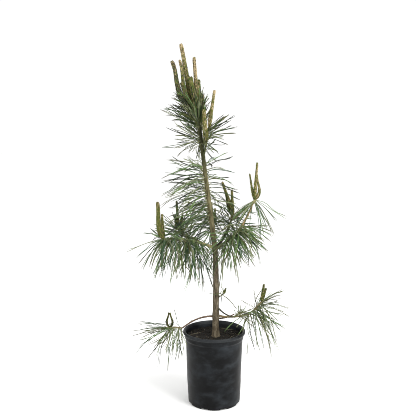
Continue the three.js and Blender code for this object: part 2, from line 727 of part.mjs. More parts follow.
function makeTrunk() {
  place("trunk", TRUNK_HEIGHTS.map(trunkPoint), TRUNK_HEIGHTS.map(trunkRadius), "trunk");
  return solidOf(loft(TRUNK_HEIGHTS.map((z) => trunkRing(z, 0))));
}

// The trunk a gap larger all round, which cuts the foot of each bough to fit it.
const cutter = solidOf(loft(TRUNK_HEIGHTS.map((z) => trunkRing(z, GAP_ROUND_TRUNK))));
const curves = {};

// Where a limb starts: on the trunk's centreline, or just past the tip of the limb it continues.
function limbStart(limb) {
  if (!limb.from) return trunkPoint(limb.height);
  const previous = curves[limb.from];
  return previous(1).addScaledVector(along(previous, 1), GAP);
}

function limbTube(owner, limb, steps, sides, scale) {
  const curve = limbCurve(limbStart(limb), limb);
  curves[owner] = curve;
  const points = samples(curve, steps);
  const radii = points.map((_, i) => scale * (limb.thick + ((limb.thin - limb.thick) * i) / steps));
  place(owner, points, radii, "stem");
  if (!limb.from) return solidOf(tube(points, radii, sides)).subtract(cutter);
  return solidOf(tube(points, radii, sides, along(curves[limb.from], 1)));
}

// Needles of a mass on the trunk grow from a sleeve over part of its girth, a gap clear of the bark.
function sleeve({ bottom, top, from, to }) {
  const steps = Math.round((to - from) / SLEEVE_STEP);
  const arc = Array.from({ length: steps + 1 }, (_, i) => rad(from + ((to - from) * i) / steps));
  const clear = 1 / Math.cos(rad(SLEEVE_STEP) / 2);
  const at = (z, a, r) => trunkPoint(z).add(vec(r * Math.cos(a), r * Math.sin(a), 0));
  const rings = Math.ceil((top - bottom) / SLEEVE_RING_HEIGHT);
  const rows = spaced(bottom - SLEEVE_END, top + SLEEVE_END, rings).map((z) => [
    ...arc.map((a) => at(z, a, trunkRadius(z) + SLEEVE_THICKNESS)),
    ...arc.map((a) => at(z, a, (trunkRadius(z) + GAP_UNDER_FLAT) * clear)).reverse(),
  ]);
  return solidOf(loft(rows));
}

function sleeveNeedles(owner, mass, random) {
  const made = [];
  for (let i = 0; i < mass.count; i++) {
    for (let attempt = 0; attempt < TRIES; attempt++) {
      const share = (i + random()) / mass.count;
      const z = mass.bottom + (mass.top - mass.bottom) * share;
      const bearing = between(random, mass.from + SLEEVE_MARGIN, mass.to - SLEEVE_MARGIN);
      const spread = rad(spreadAt(mass, share, random));
      const out = heading(bearing);
      const direction = out.clone().multiplyScalar(Math.sin(spread)).addScaledVector(UP, Math.cos(spread));
      const flat = (trunkRadius(z) + SLEEVE_THICKNESS) * Math.cos(rad(SLEEVE_STEP) / 2);
      const root = trunkPoint(z).addScaledVector(out, flat - NEEDLE_ROOT_DEPTH);
      const points = needlePoints(root, direction, mass, random, false);
      if (!clears(owner, points, ["trunk"])) continue;
      made.push(points);
      placeNeedle(owner, points);
      break;
    }
  }
  return made;
}

const tree = new THREE.Group();
tree.name = "potted_pine";

function addNode(name, solid, material) {
  const mesh = new THREE.Mesh(geometryOf(solid), material);
  mesh.name = name;
  tree.add(mesh);
}

addNode("pot", makePot(), COLOURS.plastic);
addNode("soil", makeSoil(), COLOURS.compost);
addNode("trunk", makeTrunk(), COLOURS.bark);

// Stems and candles of every mass come before any needle, so that needles keep clear of them all.
const parts = {};
const order = { ...BOUGHS, ...MASSES };
const waiting = Object.keys(order);
while (waiting.length) {
  const name = waiting.shift();
  const limb = order[name];
  if (limb.from && !curves[limb.from]) {
    waiting.push(name);
    continue;
  }
  const isMass = name in MASSES;
  if (!isMass) {
    addNode(name, limbTube(name, limb, BOUGH_STEPS, BOUGH_SIDES, 1), COLOURS.twig);
    continue;
  }
  const body = limbTube(name, limb, TWIG_STEPS, TWIG_SIDES, TWIG_SCALE);
  const tip = curves[name](1).addScaledVector(along(curves[name], 1), -CANDLE_SINK);
  parts[name] = [body, ...limb.candles.map((candle) => candleSolid(name, tip, candle))];
}

const leaderLimb = { ...LEADER, bearing: 180, arch: 0 };
const leaderStart = trunkPoint(TRUNK_TIP_HEIGHT).add(vec(0, 0, GAP));
curves[LEADER.name] = limbCurve(leaderStart, leaderLimb);
const leaderPoints = samples(curves[LEADER.name], 2);
const leaderRows = leaderPoints.map((p, i) => {
  const r = LEADER.thick + ((LEADER.thin - LEADER.thick) * i) / 2;
  return Array.from({ length: TRUNK_SIDES }, (_, k) => {
    const a = (2 * Math.PI * k) / TRUNK_SIDES;
    return vec(p.x + r * Math.cos(a), p.y + r * Math.sin(a), p.z);
  });
});
place(LEADER.name, leaderPoints, leaderPoints.map(() => LEADER.thick), "stem");
const whorl = leaderPoints[1].clone();
parts[LEADER.name] = [
  solidOf(loft(leaderRows)),
  ...LEADER.candles.map((candle) => candleSolid(LEADER.name, whorl, candle)),
];

for (const [name, mass] of Object.entries(TRUNK_MASSES)) parts[name] = [sleeve(mass)];

for (const [name, mass] of Object.entries({ ...MASSES, [LEADER.name]: LEADER })) {
  const random = seeded(mass.seed);
  for (const zone of mass.zones) {
    parts[name].push(...zoneNeedles(name, curves[name], zone, random).map(needleSolid));
  }
}
for (const [name, mass] of Object.entries(TRUNK_MASSES)) {
  parts[name].push(...sleeveNeedles(name, mass, seeded(mass.seed)).map(needleSolid));
}
for (const [name, solids] of Object.entries(parts)) addNode(name, wholeBody(joinAll(solids)), COLOURS.needles);

export default tree;
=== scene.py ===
# The looks of a young long-needled pine in a deep black nursery container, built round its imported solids.
# The plant is grown again by the rule of its solids and finer: needles in pairs from a sheath, scaly spring
# candles, and bark in relief. Sizes are in millimetres in the frame's own axes, and a mesh is scaled to
# metres as it is made. Bearings are in degrees, 0 to the right and 180 to the left, and the camera looks
# along +Y.

import math

import bmesh
import bpy
import numpy as np
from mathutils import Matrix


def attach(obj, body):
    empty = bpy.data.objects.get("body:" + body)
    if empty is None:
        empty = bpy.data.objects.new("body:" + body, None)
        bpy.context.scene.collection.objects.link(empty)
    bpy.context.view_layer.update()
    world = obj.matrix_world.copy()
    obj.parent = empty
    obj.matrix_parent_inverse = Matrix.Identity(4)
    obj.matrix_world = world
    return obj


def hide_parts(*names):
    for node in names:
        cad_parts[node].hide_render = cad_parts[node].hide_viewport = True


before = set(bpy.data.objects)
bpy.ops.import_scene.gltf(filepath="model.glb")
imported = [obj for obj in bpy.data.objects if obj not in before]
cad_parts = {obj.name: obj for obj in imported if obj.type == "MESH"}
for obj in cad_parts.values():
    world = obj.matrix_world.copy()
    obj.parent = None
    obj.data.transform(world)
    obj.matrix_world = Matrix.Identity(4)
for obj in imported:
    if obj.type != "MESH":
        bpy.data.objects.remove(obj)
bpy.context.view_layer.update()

MM = 0.001

# Camera
CAMERA_PLACE = (-20, -2000, 915)
CAMERA_PITCH = 8
CAMERA_SENSOR = 36
CAMERA_LENS = 55.64

# Container
POT_HEIGHT = 238
RIM_RADIUS = 100.5
BASE_RADIUS = 84
COLLAR_RADIUS = 94.5
COLLAR_HEIGHT = 26
LIP_HEIGHT = 11
COLLAR_STEP = 2.5
WALL = 2.4
WALL_FOOT = 5
WALL_ROWS = 44
POT_FLOOR = 7
POT_SEGMENTS = 192
FOOT_RECESS = 1.5
FOOT_RING = 72
DRAIN_NOTCHES = 8
NOTCH_COLUMNS = 9
NOTCH_HEIGHT = 4.5
# Corners of the collar, outwards and up from its foot, and of the lip, inwards and down from the rim.
COLLAR_ROWS = [(-1.6, -0.8), (-0.5, 0.6), (0, 2.4), (0.3, 7), (0.8, 14)]
LIP_ROWS = [
    (4.4, 11), (2.2, 10.5), (0.6, 8.8), (0, 6.2), (0.3, 3.2), (1.5, 1.1), (3.2, 0.1), (5, 0.4), (6.6, 1.6),
]
WALL_WAVE = 0.7
WALL_WAVE_LENGTH = 48

# Compost
SOIL_TOP = 216
SOIL_RADIUS = 91.6
SOIL_LUMP = 2.2
# The height of the crumbs, how far apart they are, and a shift in the noise, for each kind.
CRUMBS = [(1.3, 9, 0), (0.9, 4, 5), (0.5, 1.9, 11)]
SOIL_RINGS = 64
SOIL_COLUMNS = 180
CHIPS = 260
CHIPS_REACH = 86
DEAD_NEEDLES = 7
DEAD_NEEDLES_REACH = 78

# Trunk
TRUNK_COLUMNS = 30
TRUNK_STEP = 2.4
TRUNK_FOOT_X = 4.5
TRUNK_BEND_HEIGHT = 500
TRUNK_BEND_REACH = 30
TRUNK_LEAN = 7.6
TRUNK_TIP_HEIGHT = 926
TRUNK_FOOT_RADIUS = 10.6
TRUNK_TIP_RADIUS = 5
ROOT_FLARE = 4.5
ROOT_FLARE_REACH = 13
ROOT_LOBES = 5
ROOT_LOBE_DEPTH = 1.3
FISSURE = 0.35
BARK_AGED_BELOW = 620
BARK_AGED_BLEND = 300
SCARS_FROM = 520
SCAR_PITCH = 1.9
SCAR_HEIGHT = 2.6
SCAR_WIDTH = 1.7
WHORL_HEIGHTS = (283, 508, 824)
WHORL_SWELL = 1.6
WHORL_REACH = 11

# Boughs and twigs
BOUGH_COLUMNS = 14
BOUGH_STEP = 1.8
TWIG_COLUMNS = 10
LIMB_SCAR_PITCH = 1.5
LIMB_SCAR_LENGTH = 2.0
LIMB_SCAR_WIDTH = 1.2
BOUGH_COLLAR = 1.4

# Needles grow in pairs
GOLDEN_ANGLE = 137.508
NEEDLE_RADIUS = 0.92
NEEDLE_SIDES = 3
NEEDLE_STEPS = 8
TIP_STEPS = 1
TIP_SHARE = 0.35
PAIR_OPENING = 0.6
SHEATH_LENGTH = 10
SHEATH_RADIUS = 1.1
SHEATH_SIDES = 5
SHORTEST = 0.6
UPWARD_SHORTER = 0.3
SPREAD_JITTER = 60
TWIST_JITTER = 200
DROOP_SHARE = (0.3, 1.6)
WILD_LEAST = 0.45
HOOK = 0.12
OWN_CURL = 0.014
OWN_HOOK = 0.02
WAVE = 0.022
WAVES = (0.8, 1.5)
TRIES = 6
NEEDLE_OVER_POT = 3
NEEDLE_OFF_RIM = 4
NEEDLE_OFF_FLOOR = 12
NEEDLE_OFF_TRUNK = 1.2
SLEEVE_MARGIN = 4

# Candles
CANDLE_COLUMNS = 12
CANDLE_STEP = 2.4
CANDLE_OUTLINE_AT = [0, 0.06, 0.2, 0.5, 0.85, 0.95, 0.985, 1]
CANDLE_OUTLINE = [0.7, 1, 1.16, 1.08, 0.96, 0.96, 0.86, 0.4]
CANDLE_SINK = 2
CORE_SHARE = 0.84
SCALE_AREA = 7
SCALES_END = 0.985
SCALE_SIDES = 4
SCALE_REACH = 4.5
SCALE_RADII = (0.9, 1.3, 0.1)
SCALE_LIFT = 0.08
SCALE_OPENING = 0.34
OPEN_BELOW = 0.75
OPEN_BLEND = 0.6
CLOSED_FROM = 0.94
CLOSED_BLEND = 0.06
CLOSING = 0.7

# Seeds. Each mass of needles has its own in its table.
WALL_SEED = 3
CRUMB_SEED = 5
CHIP_SEED = 17
TRUNK_SEED = 8
BOUGH_SEED = 60
TWIG_SEED = 80
SIDE_CANDLE_SEED = 71
LEADER_CANDLE_SEED = 72

UP = np.array([0.0, 0.0, 1.0])
ACROSS = np.array([1.0, 0.0, 0.0])
STEEP = 0.9


def unit(v):
    return v / np.linalg.norm(v, axis=-1, keepdims=True)


def around(radius, turn, height):
    """Points round the upright axis, for arrays of radii, angles and heights."""
    return np.stack(np.broadcast_arrays(radius * np.cos(turn), radius * np.sin(turn), height), axis=-1)


def numbered(*shape):
    """The numbers of points that lie in a grid."""
    return np.arange(math.prod(shape)).reshape(shape)


def closed_grid(number, axis):
    """Faces with four corners on a grid of numbered points that closes on itself along an axis."""
    beside = np.roll(number, -1, axis=axis)
    return np.stack([number[:, :-1], beside[:, :-1], beside[:, 1:], number[:, 1:]], axis=-1)


def heading(bearing):
    """The level unit vector of a bearing."""
    a = math.radians(bearing)
    return np.array([math.cos(a), math.sin(a), 0.0])


def place_object(name, data, place=(0, 0, 0), rotation=(0, 0, 0)):
    thing = bpy.data.objects.new(name, data)
    thing.location = [v * MM for v in place]
    thing.rotation_euler = rotation
    bpy.context.scene.collection.objects.link(thing)
    return thing


class Noise:
    """Smooth noise from -1 to 1 on a lattice that repeats every SIZE cells."""

    SIZE = 32

    def __init__(self, seed):
        self.lattice = np.random.default_rng(seed).uniform(-1, 1, (self.SIZE,) * 3)

    def __call__(self, points):
        cell = np.floor(points).astype(int)
        share = points - cell
        share = share * share * (3 - 2 * share)
        total = 0.0
        for corner in np.ndindex(2, 2, 2):
            weight = np.prod(np.where(corner, share, 1 - share), axis=-1)
            x, y, z = np.moveaxis((cell + corner) % self.SIZE, -1, 0)
            total = total + weight * self.lattice[x, y, z]
        return total


class Gathered:
    """Points and faces of many small shapes, to be joined into one mesh."""

    def __init__(self):
        self.points = []
        self.faces = []
        self.slots = []
        self.total = 0

    def add(self, points, faces, slots):
        """Takes points, lists of faces that count from 0, and a slot for all faces or one for each list."""
        points = np.asarray(points, float).reshape(-1, 3)
        for i, rows in enumerate(faces):
            rows = np.asarray(rows)
            self.faces.extend((rows + self.total).tolist())
            slot = slots[i] if isinstance(slots, (list, tuple)) else slots
            self.slots.append(np.broadcast_to(np.asarray(slot, int).reshape(-1), (len(rows),)))
        self.points.append(points)
        self.total += len(points)

    def make(self, name, materials):
        mesh = bpy.data.meshes.new(name)
        mesh.from_pydata(np.concatenate(self.points) * MM, [], self.faces)
        for material in materials:
            mesh.materials.append(material)
        mesh.polygons.foreach_set("material_index", np.concatenate(self.slots).astype(np.int32))
        mesh.polygons.foreach_set("use_smooth", np.ones(len(mesh.polygons), bool))
        mesh.update()
        return place_object(name, mesh)


def add_tubes(gathered, lines, radii, sides, slots, reference=None):
    """Adds closed tubes round many lines at once.

    lines is (tubes, stations, 3), and radii is (tubes, stations) or (tubes, stations, sides). slots is one
    number, or one for each tube and stretch between stations.
    """
    lines = np.asarray(lines, float)
    radii = np.asarray(radii, float)
    if radii.ndim == 2:
        radii = radii[:, :, None]
    count, stations, _ = lines.shape
    ahead = unit(np.gradient(lines, axis=1))
    if reference is None:
        reference = np.where(np.abs(ahead[:, 0, 2:3]) > STEEP, ACROSS, UP)
    first = unit(np.cross(reference[:, None, :], ahead))
    second = np.cross(ahead, first)
    angle = 2 * math.pi * np.arange(sides) / sides
    ring = first[:, :, None] * np.cos(angle)[:, None] + second[:, :, None] * np.sin(angle)[:, None]
    points = lines[:, :, None] + radii[..., None] * ring
    number = numbered(count, stations, sides)
    quads = closed_grid(number, 2)
    ends = np.concatenate([number[:, 0, ::-1], number[:, -1]])
    along = np.asarray(slots, int)
    if along.ndim == 2:
        along = along[:, :, None]
    along = np.broadcast_to(along, quads.shape[:3])
    end_slots = np.concatenate([along[:, 0, 0], along[:, -1, 0]])
    gathered.add(points, [quads.reshape(-1, 4), ends], [along.reshape(-1), end_slots])


# The plant's tables, as in its solids. Only the seeds and the candles' kinds are this scene's own.
BOUGHS = {
    "lower_left_bough": dict(height=281, bearing=184, reach=108, rise=-36, arch=13, thick=3.0, thin=2.2),
    "lower_right_bough": dict(height=285, bearing=357, reach=93, rise=1, arch=-5, thick=3.2, thin=2.6),
    "lower_right_upper_bough": dict(
        height=318, bearing=335, reach=62, rise=-29, arch=-9, thick=2.4, thin=1.9
    ),
    "lower_right_rear_bough": dict(height=276, bearing=22, reach=66, rise=6, arch=-6, thick=2.2, thin=1.8),
    "mid_left_bough": dict(height=504, bearing=192, reach=40, rise=18, arch=1, thick=5.0, thin=4.4),
    "mid_left_rear_bough": dict(height=508, bearing=140, reach=92, rise=20, arch=-4, thick=4.6, thin=3.4),
    "mid_right_bough": dict(height=500, bearing=340, reach=22, rise=18, arch=-1, thick=5.2, thin=4.6),
    "mid_right_outer_bough": dict(
        after="mid_right_needles", bearing=341, reach=31, rise=66, arch=-3, thick=3.4, thin=2.8
    ),
    "mid_right_rear_bough": dict(height=506, bearing=42, reach=38, rise=26, arch=-3, thick=4.8, thin=3.8),
    "mid_rear_bough": dict(height=519, bearing=94, reach=70, rise=24, arch=-4, thick=4.2, thin=3.2),
}


def zone(start, end, count, length, spread, droop, **limits):
    """Where needles grow on a stem: their number, length, angle from it at both ends, and how they bend.

    Limits are highest, how far up they may point, and facing, a bearing that they keep within a window.
    """
    return dict(start=start, end=end, count=count, length=length, spread=spread, droop=droop, **limits)


def candle(bearing, reach, rise, bow, radius, kind="olive"):
    return dict(bearing=bearing, reach=reach, rise=rise, bow=bow, radius=radius, kind=kind)


MASSES = {
    "lower_left_needles": dict(
        after="lower_left_bough", bearing=187, reach=42, rise=4, arch=2, thick=2.2, thin=1.8, seed=106,
        zones=[
            zone(0, 1, 22, 118, (100, 66), 0.3, highest=0.1),
            zone(0.6, 1, 11, 136, (38, 8), 0.04, highest=0.14),
        ],
        candles=[candle(175, 3.4, 48, 17, 2.4, "dark"), candle(355, 1.2, 48, 46, 2.4, "dark")],
    ),
    "lower_right_needles": dict(
        after="lower_right_bough", bearing=352, reach=54, rise=50, arch=-7, thick=2.6, thin=2.1, seed=31,
        zones=[
            zone(0.16, 0.9, 34, 116, (108, 76), 0.4, highest=0),
            zone(0.5, 1, 20, 118, (84, 14), 0.1, highest=0.6),
        ],
        candles=[candle(350, 7, 56, 0, 3.4, "green"), candle(10, 15, 42, 0, 3.2, "green")],
    ),
    "lower_right_side_needles": dict(
        after="lower_right_upper_bough", bearing=348, reach=26, rise=14, arch=0, thick=1.9, thin=1.6,
        seed=132,
        zones=[zone(0.2, 1, 12, 66, (50, 30), 0.22)],
        candles=[],
    ),
    "trunk_tuft_needles": dict(
        height=338, bearing=345, reach=26, rise=20, arch=0, thick=1.9, thin=1.6, seed=132,
        zones=[zone(0.6, 1, 5, 60, (80, 40), 0.3)],
        candles=[candle(345, 8, 19, 0, 2.6, "green")],
    ),
    "mid_left_needles": dict(
        after="mid_left_bough", bearing=196, reach=128, rise=22, arch=6, thick=3.6, thin=2.6, seed=186,
        zones=[
            zone(0, 0.42, 20, 112, (122, 90), 0.5, highest=-0.2),
            zone(0.3, 1, 42, 118, (112, 66), 0.4, highest=0.5),
            zone(0.1, 0.98, 14, 118, (86, 66), 0.5, highest=0.3, facing=262, window=56),
            zone(0.8, 1, 4, 124, (60, 34), 0.4, highest=0, facing=190, window=44),
            zone(0.88, 1, 6, 66, (66, 34), 0, facing=180, window=60),
        ],
        candles=[candle(200, 17, 114, 2.8, 5.8, "fresh"), candle(190, 3, 76, -0.6, 3.6, "fresh")],
    ),
    "mid_left_rear_needles": dict(
        after="mid_left_rear_bough", bearing=137, reach=68, rise=18, arch=-9, thick=3.4, thin=2.8, seed=143,
        zones=[zone(0.16, 0.9, 28, 108, (96, 56), 0.3), zone(0.6, 1, 20, 112, (66, 14), 0.06)],
        candles=[
            candle(180, 6, 98, 0, 3.4, "dark"),
            candle(188, 12, 50, 1.6, 3.6, "leafy"),
            candle(5, 14, 52, 1.6, 3.6, "leafy"),
        ],
    ),
    "mid_right_needles": dict(
        after="mid_right_bough", bearing=342, reach=68, rise=66, arch=-4, thick=3.8, thin=3.2, seed=57,
        zones=[
            zone(0.08, 0.8, 18, 112, (116, 90), 0.5, highest=-0.1),
            zone(0.34, 1, 34, 122, (106, 58), 0.34, highest=0.5),
            zone(0.6, 1, 12, 118, (84, 44), 0.3, highest=0.1, facing=345, window=50),
            zone(0.08, 0.96, 16, 112, (84, 56), 0.42, highest=0.4, facing=290, window=56),
        ],
        candles=[],
    ),
    "mid_right_tip_needles": dict(
        after="mid_right_outer_bough", bearing=345, reach=8, rise=16, arch=0, thick=3.0, thin=2.8, seed=110,
        zones=[
            zone(0.1, 1, 24, 122, (140, 110), 0.24, highest=-0.3, facing=350, window=28),
            zone(0.1, 1, 11, 104, (146, 128), 0.2, highest=-0.4, facing=196, window=24),
            zone(0.1, 1, 4, 86, (126, 106), 0.4, highest=-0.1, facing=95, window=40),
        ],
        candles=[
            candle(340, 7, 115, -1, 3.4, "pale"),
            candle(175, 16, 80, 0.8, 2.5, "fresh"),
            candle(0, 7, 76, 11, 3, "pale"),
        ],
    ),
    "mid_right_rear_needles": dict(
        after="mid_right_rear_bough", bearing=48, reach=46, rise=70, arch=-6, thick=3.8, thin=3.2, seed=57,
        zones=[zone(0.3, 1, 38, 112, (112, 50), 0.28)],
        candles=[
            candle(182, 34, 110, -0.6, 4.2),
            candle(178, 24, 78, 1.6, 3.2, "dark"),
            candle(180, 3, 84, 0, 4),
        ],
    ),
    "mid_rear_needles": dict(
        after="mid_rear_bough", bearing=92, reach=52, rise=24, arch=-4, thick=3.2, thin=2.6, seed=27,
        zones=[zone(0.3, 1, 30, 112, (100, 48), 0.3), zone(0.8, 1, 8, 112, (24, 8), 0.1)],
        candles=[candle(110, 8, 66, 1.2, 4.2), candle(30, 12, 48, 2, 3.8)],
    ),
    "upper_right_needles": dict(
        height=828, bearing=352, reach=23, rise=60, arch=-9, thick=3.8, thin=3.4, seed=73,
        zones=[
            zone(0.6, 1, 14, 122, (64, 40), 0, highest=0.66, facing=355, window=60),
            zone(0.35, 0.7, 5, 96, (78, 60), 0.3, highest=0.4, facing=0, window=50),
        ],
        candles=[candle(350, 17, 112, 0, 4.2, "light")],
    ),
    "upper_front_needles": dict(
        height=797, bearing=302, reach=21, rise=48, arch=-8, thick=3.4, thin=3.0, seed=142,
        zones=[zone(0.5, 1, 10, 70, (56, 26), 0.04, facing=320, window=80)],
        candles=[candle(196, 9, 96, 0.8, 5.8, "pale")],
    ),
    "upper_rear_needles": dict(
        height=824, bearing=105, reach=26, rise=48, arch=-9, thick=4.0, thin=3.2, seed=136,
        zones=[zone(0.4, 1, 16, 98, (88, 46), 0.16, facing=95, window=100)],
        candles=[candle(100, 10, 92, 0.4, 5)],
    ),
}

LEADER = dict(
    reach=3, rise=16, arch=0, bearing=180, thick=4.8, thin=4.4, seed=62,
    zones=[zone(0, 0.95, 14, 124, (58, 34), 0, facing=185, window=100), zone(0, 1, 34, 112, (44, 12), 0)],
    candles=[
        candle(180, 50, 203, 1, 6.2, "straw"),
        candle(194, 79, 150, 2.2, 6, "brown"),
        candle(204, 58, 153, 2.2, 4.8, "mixed"),
        candle(239, 18, 162, -1, 5.4, "speckled"),
        candle(231, 31, 102, 1, 6.6, "green"),
        candle(76, 19, 96, 1, 5.4, "green"),
        candle(153, 57, 87, 1, 5, "dark"),
        candle(95, 26, 84, 1.2, 5.4, "green"),
        candle(43, 24, 50, 1, 4.8, "olive"),
    ],
)


def sleeve(bottom, top, start, end, count, length, spread, droop, seed):
    """Needles on a stretch of the trunk, between two heights and from one bearing to another."""
    return dict(zone(start, end, count, length, spread, droop), bottom=bottom, top=top, seed=seed)


TRUNK_MASSES = {
    "stem_left_needles": sleeve(590, 768, 100, 244, 58, 146, (104, 70), 0.28, 41),
    "stem_right_needles": sleeve(600, 776, -28, 40, 10, 112, (124, 76), 0.3, 59),
    "stem_rear_needles": sleeve(590, 780, 48, 92, 16, 108, (116, 70), 0.3, 133),
    "upper_left_needles": sleeve(834, 866, 130, 282, 13, 138, (88, 34), 0.12, 174),
    "top_left_needles": sleeve(882, 920, 134, 276, 44, 158, (62, 28), 0.06, 124),
    "top_rear_needles": sleeve(876, 920, 70, 126, 16, 104, (80, 44), 0.1, 102),
    "top_right_needles": sleeve(884, 920, -76, 62, 24, 112, (30, 14), 0, 91),
}


# Colours are given as they look in this scene's light, from 0 to 255. The surface itself is darker by this.
LIGHT_LEVEL = 1.35


def colour(red, green, blue, light=LIGHT_LEVEL):
    """The linear values of a surface that looks like this."""

    def linear(value):
        share = value / 255
        return (share / 12.92 if share <= 0.04045 else ((share + 0.055) / 1.055) ** 2.4) / light

    return (linear(red), linear(green), linear(blue), 1.0)


class Shader:
    """A material's node tree, with short ways to add what most materials here share."""

    def __init__(self, name):
        self.material = bpy.data.materials.new(name)
        self.material.use_nodes = True
        self.nodes = self.material.node_tree.nodes
        self.links = self.material.node_tree.links
        self.bsdf = self.nodes["Principled BSDF"]
        self.place = self.nodes.new("ShaderNodeTexCoord").outputs["Object"]

    def node(self, kind, settings, **sources):
        """Adds a node, with values for some inputs and links for others."""
        node = self.nodes.new("ShaderNode" + kind)
        for name, value in settings.items():
            node.inputs[name].default_value = value
        for name, source in sources.items():
            self.links.new(source, node.inputs[name])
        return node

    def noise(self, per_metre, detail=4.0, stretch=(1, 1, 1), roughness=0.6):
        mapping = self.node("Mapping", {"Scale": stretch}, Vector=self.place)
        settings = {"Scale": per_metre, "Detail": detail, "Roughness": roughness}
        return self.node("TexNoise", settings, Vector=mapping.outputs["Vector"]).outputs["Fac"]

    def ramp(self, value, stops):
        """Colours, or greys from 0 to 1, that follow a value."""
        node = self.node("ValToRGB", {}, Fac=value)
        for _ in range(len(stops) - 2):
            node.color_ramp.elements.new(0.5)
        for element, (position, shade) in zip(node.color_ramp.elements, stops):
            element.position = position
            element.color = colour(*shade) if isinstance(shade, tuple) else (shade, shade, shade, 1.0)
        return node.outputs["Color"]

    def mix(self, share, first, second):
        node = self.nodes.new("ShaderNodeMix")
        node.data_type = "RGBA"
        self.links.new(share, node.inputs["Factor"])
        self.links.new(first, node.inputs["A"])
        self.links.new(second, node.inputs["B"])
        return node.outputs["Result"]

    def height(self, low, high):
        """The place's height as a share from low to high, in millimetres."""
        split = self.node("SeparateXYZ", {}, Vector=self.place)
        limits = {"From Min": low * MM, "From Max": high * MM}
        return self.node("MapRange", limits, Value=split.outputs["Z"]).outputs["Result"]

    def bump(self, value, distance, strength=0.6):
        node = self.node("Bump", {"Strength": strength, "Distance": distance * MM}, Height=value)
        self.links.new(node.outputs["Normal"], self.bsdf.inputs["Normal"])

    def rough(self, value, low, high):
        node = self.node("MapRange", {"To Min": low, "To Max": high}, Value=value)
        self.links.new(node.outputs["Result"], self.bsdf.inputs["Roughness"])

    def gloss(self, value):
        self.bsdf.inputs["Specular IOR Level"].default_value = value

    def paint(self, value):
        self.links.new(value, self.bsdf.inputs["Base Color"])


def needle_material(name, shade, gloss=0.35):
    """One plain colour of needles or scales, with a fine grain in its gloss and surface."""
    shader = Shader(name)
    shader.bsdf.inputs["Base Color"].default_value = colour(*shade)
    shader.gloss(gloss)
    shader.rough(shader.noise(700, detail=2), 0.42, 0.66)
    shader.bump(shader.noise(2600, detail=1), 0.12, 0.3)
    return shader.material


def bark_material(name, dark, light, per_metre, stretch=(1, 1, 0.3)):
    """Bark of a limb: two browns in long patches, over a fine grain."""
    shader = Shader(name)
    patches = shader.noise(per_metre, detail=6, stretch=stretch, roughness=0.7)
    shader.paint(shader.ramp(patches, [(0.34, dark), (0.66, light)]))
    shader.gloss(0.2)
    shader.rough(patches, 0.95, 0.75)
    shader.bump(shader.noise(per_metre * 6, detail=4), 0.35)
    return shader.material


def pot_material():
    """Black moulded plastic, dusty and scuffed round the wall, with fine scratches, and a lighter lip that is
    partly wear and partly a painted highlight.
    """
    shader = Shader("pot_black_plastic")
    dust = shader.noise(13, detail=7, stretch=(1, 1, 1.2), roughness=0.62)
    scuffs = shader.noise(17, detail=8, stretch=(1, 1, 2.2), roughness=0.5)
    shades = [(0.36, (2, 3, 4)), (0.52, (12, 14, 16)), (0.68, (34, 38, 42))]
    base = shader.ramp(dust, shades)
    worn = shader.ramp(scuffs, [(0.30, (58, 63, 68)), (0.70, (84, 90, 96))])
    share = shader.ramp(scuffs, [(0.50, 0), (0.80, 0.34)])
    # The lip's lighter grey is partly wear and partly a painted highlight along the rim.
    lip = shader.ramp(dust, [(0.40, (18, 20, 22)), (0.66, (60, 63, 65))])
    body = shader.mix(share, base, worn)
    lip_foot = POT_HEIGHT - LIP_HEIGHT
    shader.paint(shader.mix(shader.height(lip_foot - 1, lip_foot + 2), body, lip))
    shader.gloss(0.13)
    shader.rough(dust, 0.28, 0.5)
    shader.bump(shader.noise(900, detail=3), 0.1, 0.2)
    return shader.material


def soil_material():
    """Damp dark compost with brown fibres."""
    shader = Shader("compost_dark")
    crumbs = shader.noise(260, detail=8, roughness=0.75)
    shades = [(0.38, (18, 17, 15)), (0.58, (40, 37, 32)), (0.76, (74, 66, 54))]
    shader.paint(shader.ramp(crumbs, shades))
    shader.gloss(0.15)
    shader.rough(crumbs, 0.98, 0.8)
    shader.bump(crumbs, 1.2, 0.8)
    return shader.material


def trunk_material():
    """Grey-brown bark low down, olive-brown higher up and dark green-brown under the leader, with scars."""
    shader = Shader("bark_trunk")
    patches = shader.noise(150, detail=10, stretch=(1, 1, 0.2), roughness=0.75)
    old = [(0.38, (58, 50, 40)), (0.50, (100, 89, 71)), (0.66, (152, 140, 118))]
    young = [(0.36, (66, 64, 42)), (0.50, (114, 108, 76)), (0.66, (158, 148, 112))]
    green = [(0.38, (40, 43, 25)), (0.54, (66, 68, 40)), (0.70, (100, 96, 62))]
    low = shader.ramp(patches, old)
    high = shader.ramp(patches, young)
    top = shader.ramp(patches, green)
    aged = shader.mix(shader.height(430, 620), low, high)
    aged = shader.mix(shader.height(700, 800), aged, top)
    spots = shader.noise(150, detail=3, stretch=(1, 1, 0.7))
    scars = shader.ramp(spots, [(0.64, 0), (0.70, 0.8)])
    scar = shader.ramp(patches, [(0.3, (34, 30, 22)), (0.7, (58, 50, 36))])
    shader.paint(shader.mix(scars, aged, scar))
    shader.gloss(0.2)
    shader.rough(patches, 0.95, 0.72)
    shader.bump(shader.noise(500, detail=5), 0.5)
    return shader.material


# Needle colours. Each pair draws one of the spray colours, by the shares of its region.
# The deep, fresh and pale greens are partly the needles' own tones and partly painted light: pale and fresh
# pairs stand in for highlights along needles, deep pairs for shade among them.
NEEDLE_COLOURS = {
    "deep": (48, 58, 34),
    "mid": (72, 95, 50),
    "blue": (68, 101, 68),
    "olive": (98, 102, 54),
    "fresh": (112, 142, 82),
    "pale": (142, 150, 112),
    "tip": (104, 100, 74),
    # The sheath colour is partly the sheaths' own papery tone and partly painted light, made lighter to lift
    # the shade round crowded stems.
    "sheath": (150, 152, 112),
}
NEEDLE_SLOTS = {name: i for i, name in enumerate(NEEDLE_COLOURS)}
SPRAY_COLOURS = ("deep", "mid", "blue", "olive", "fresh", "pale")
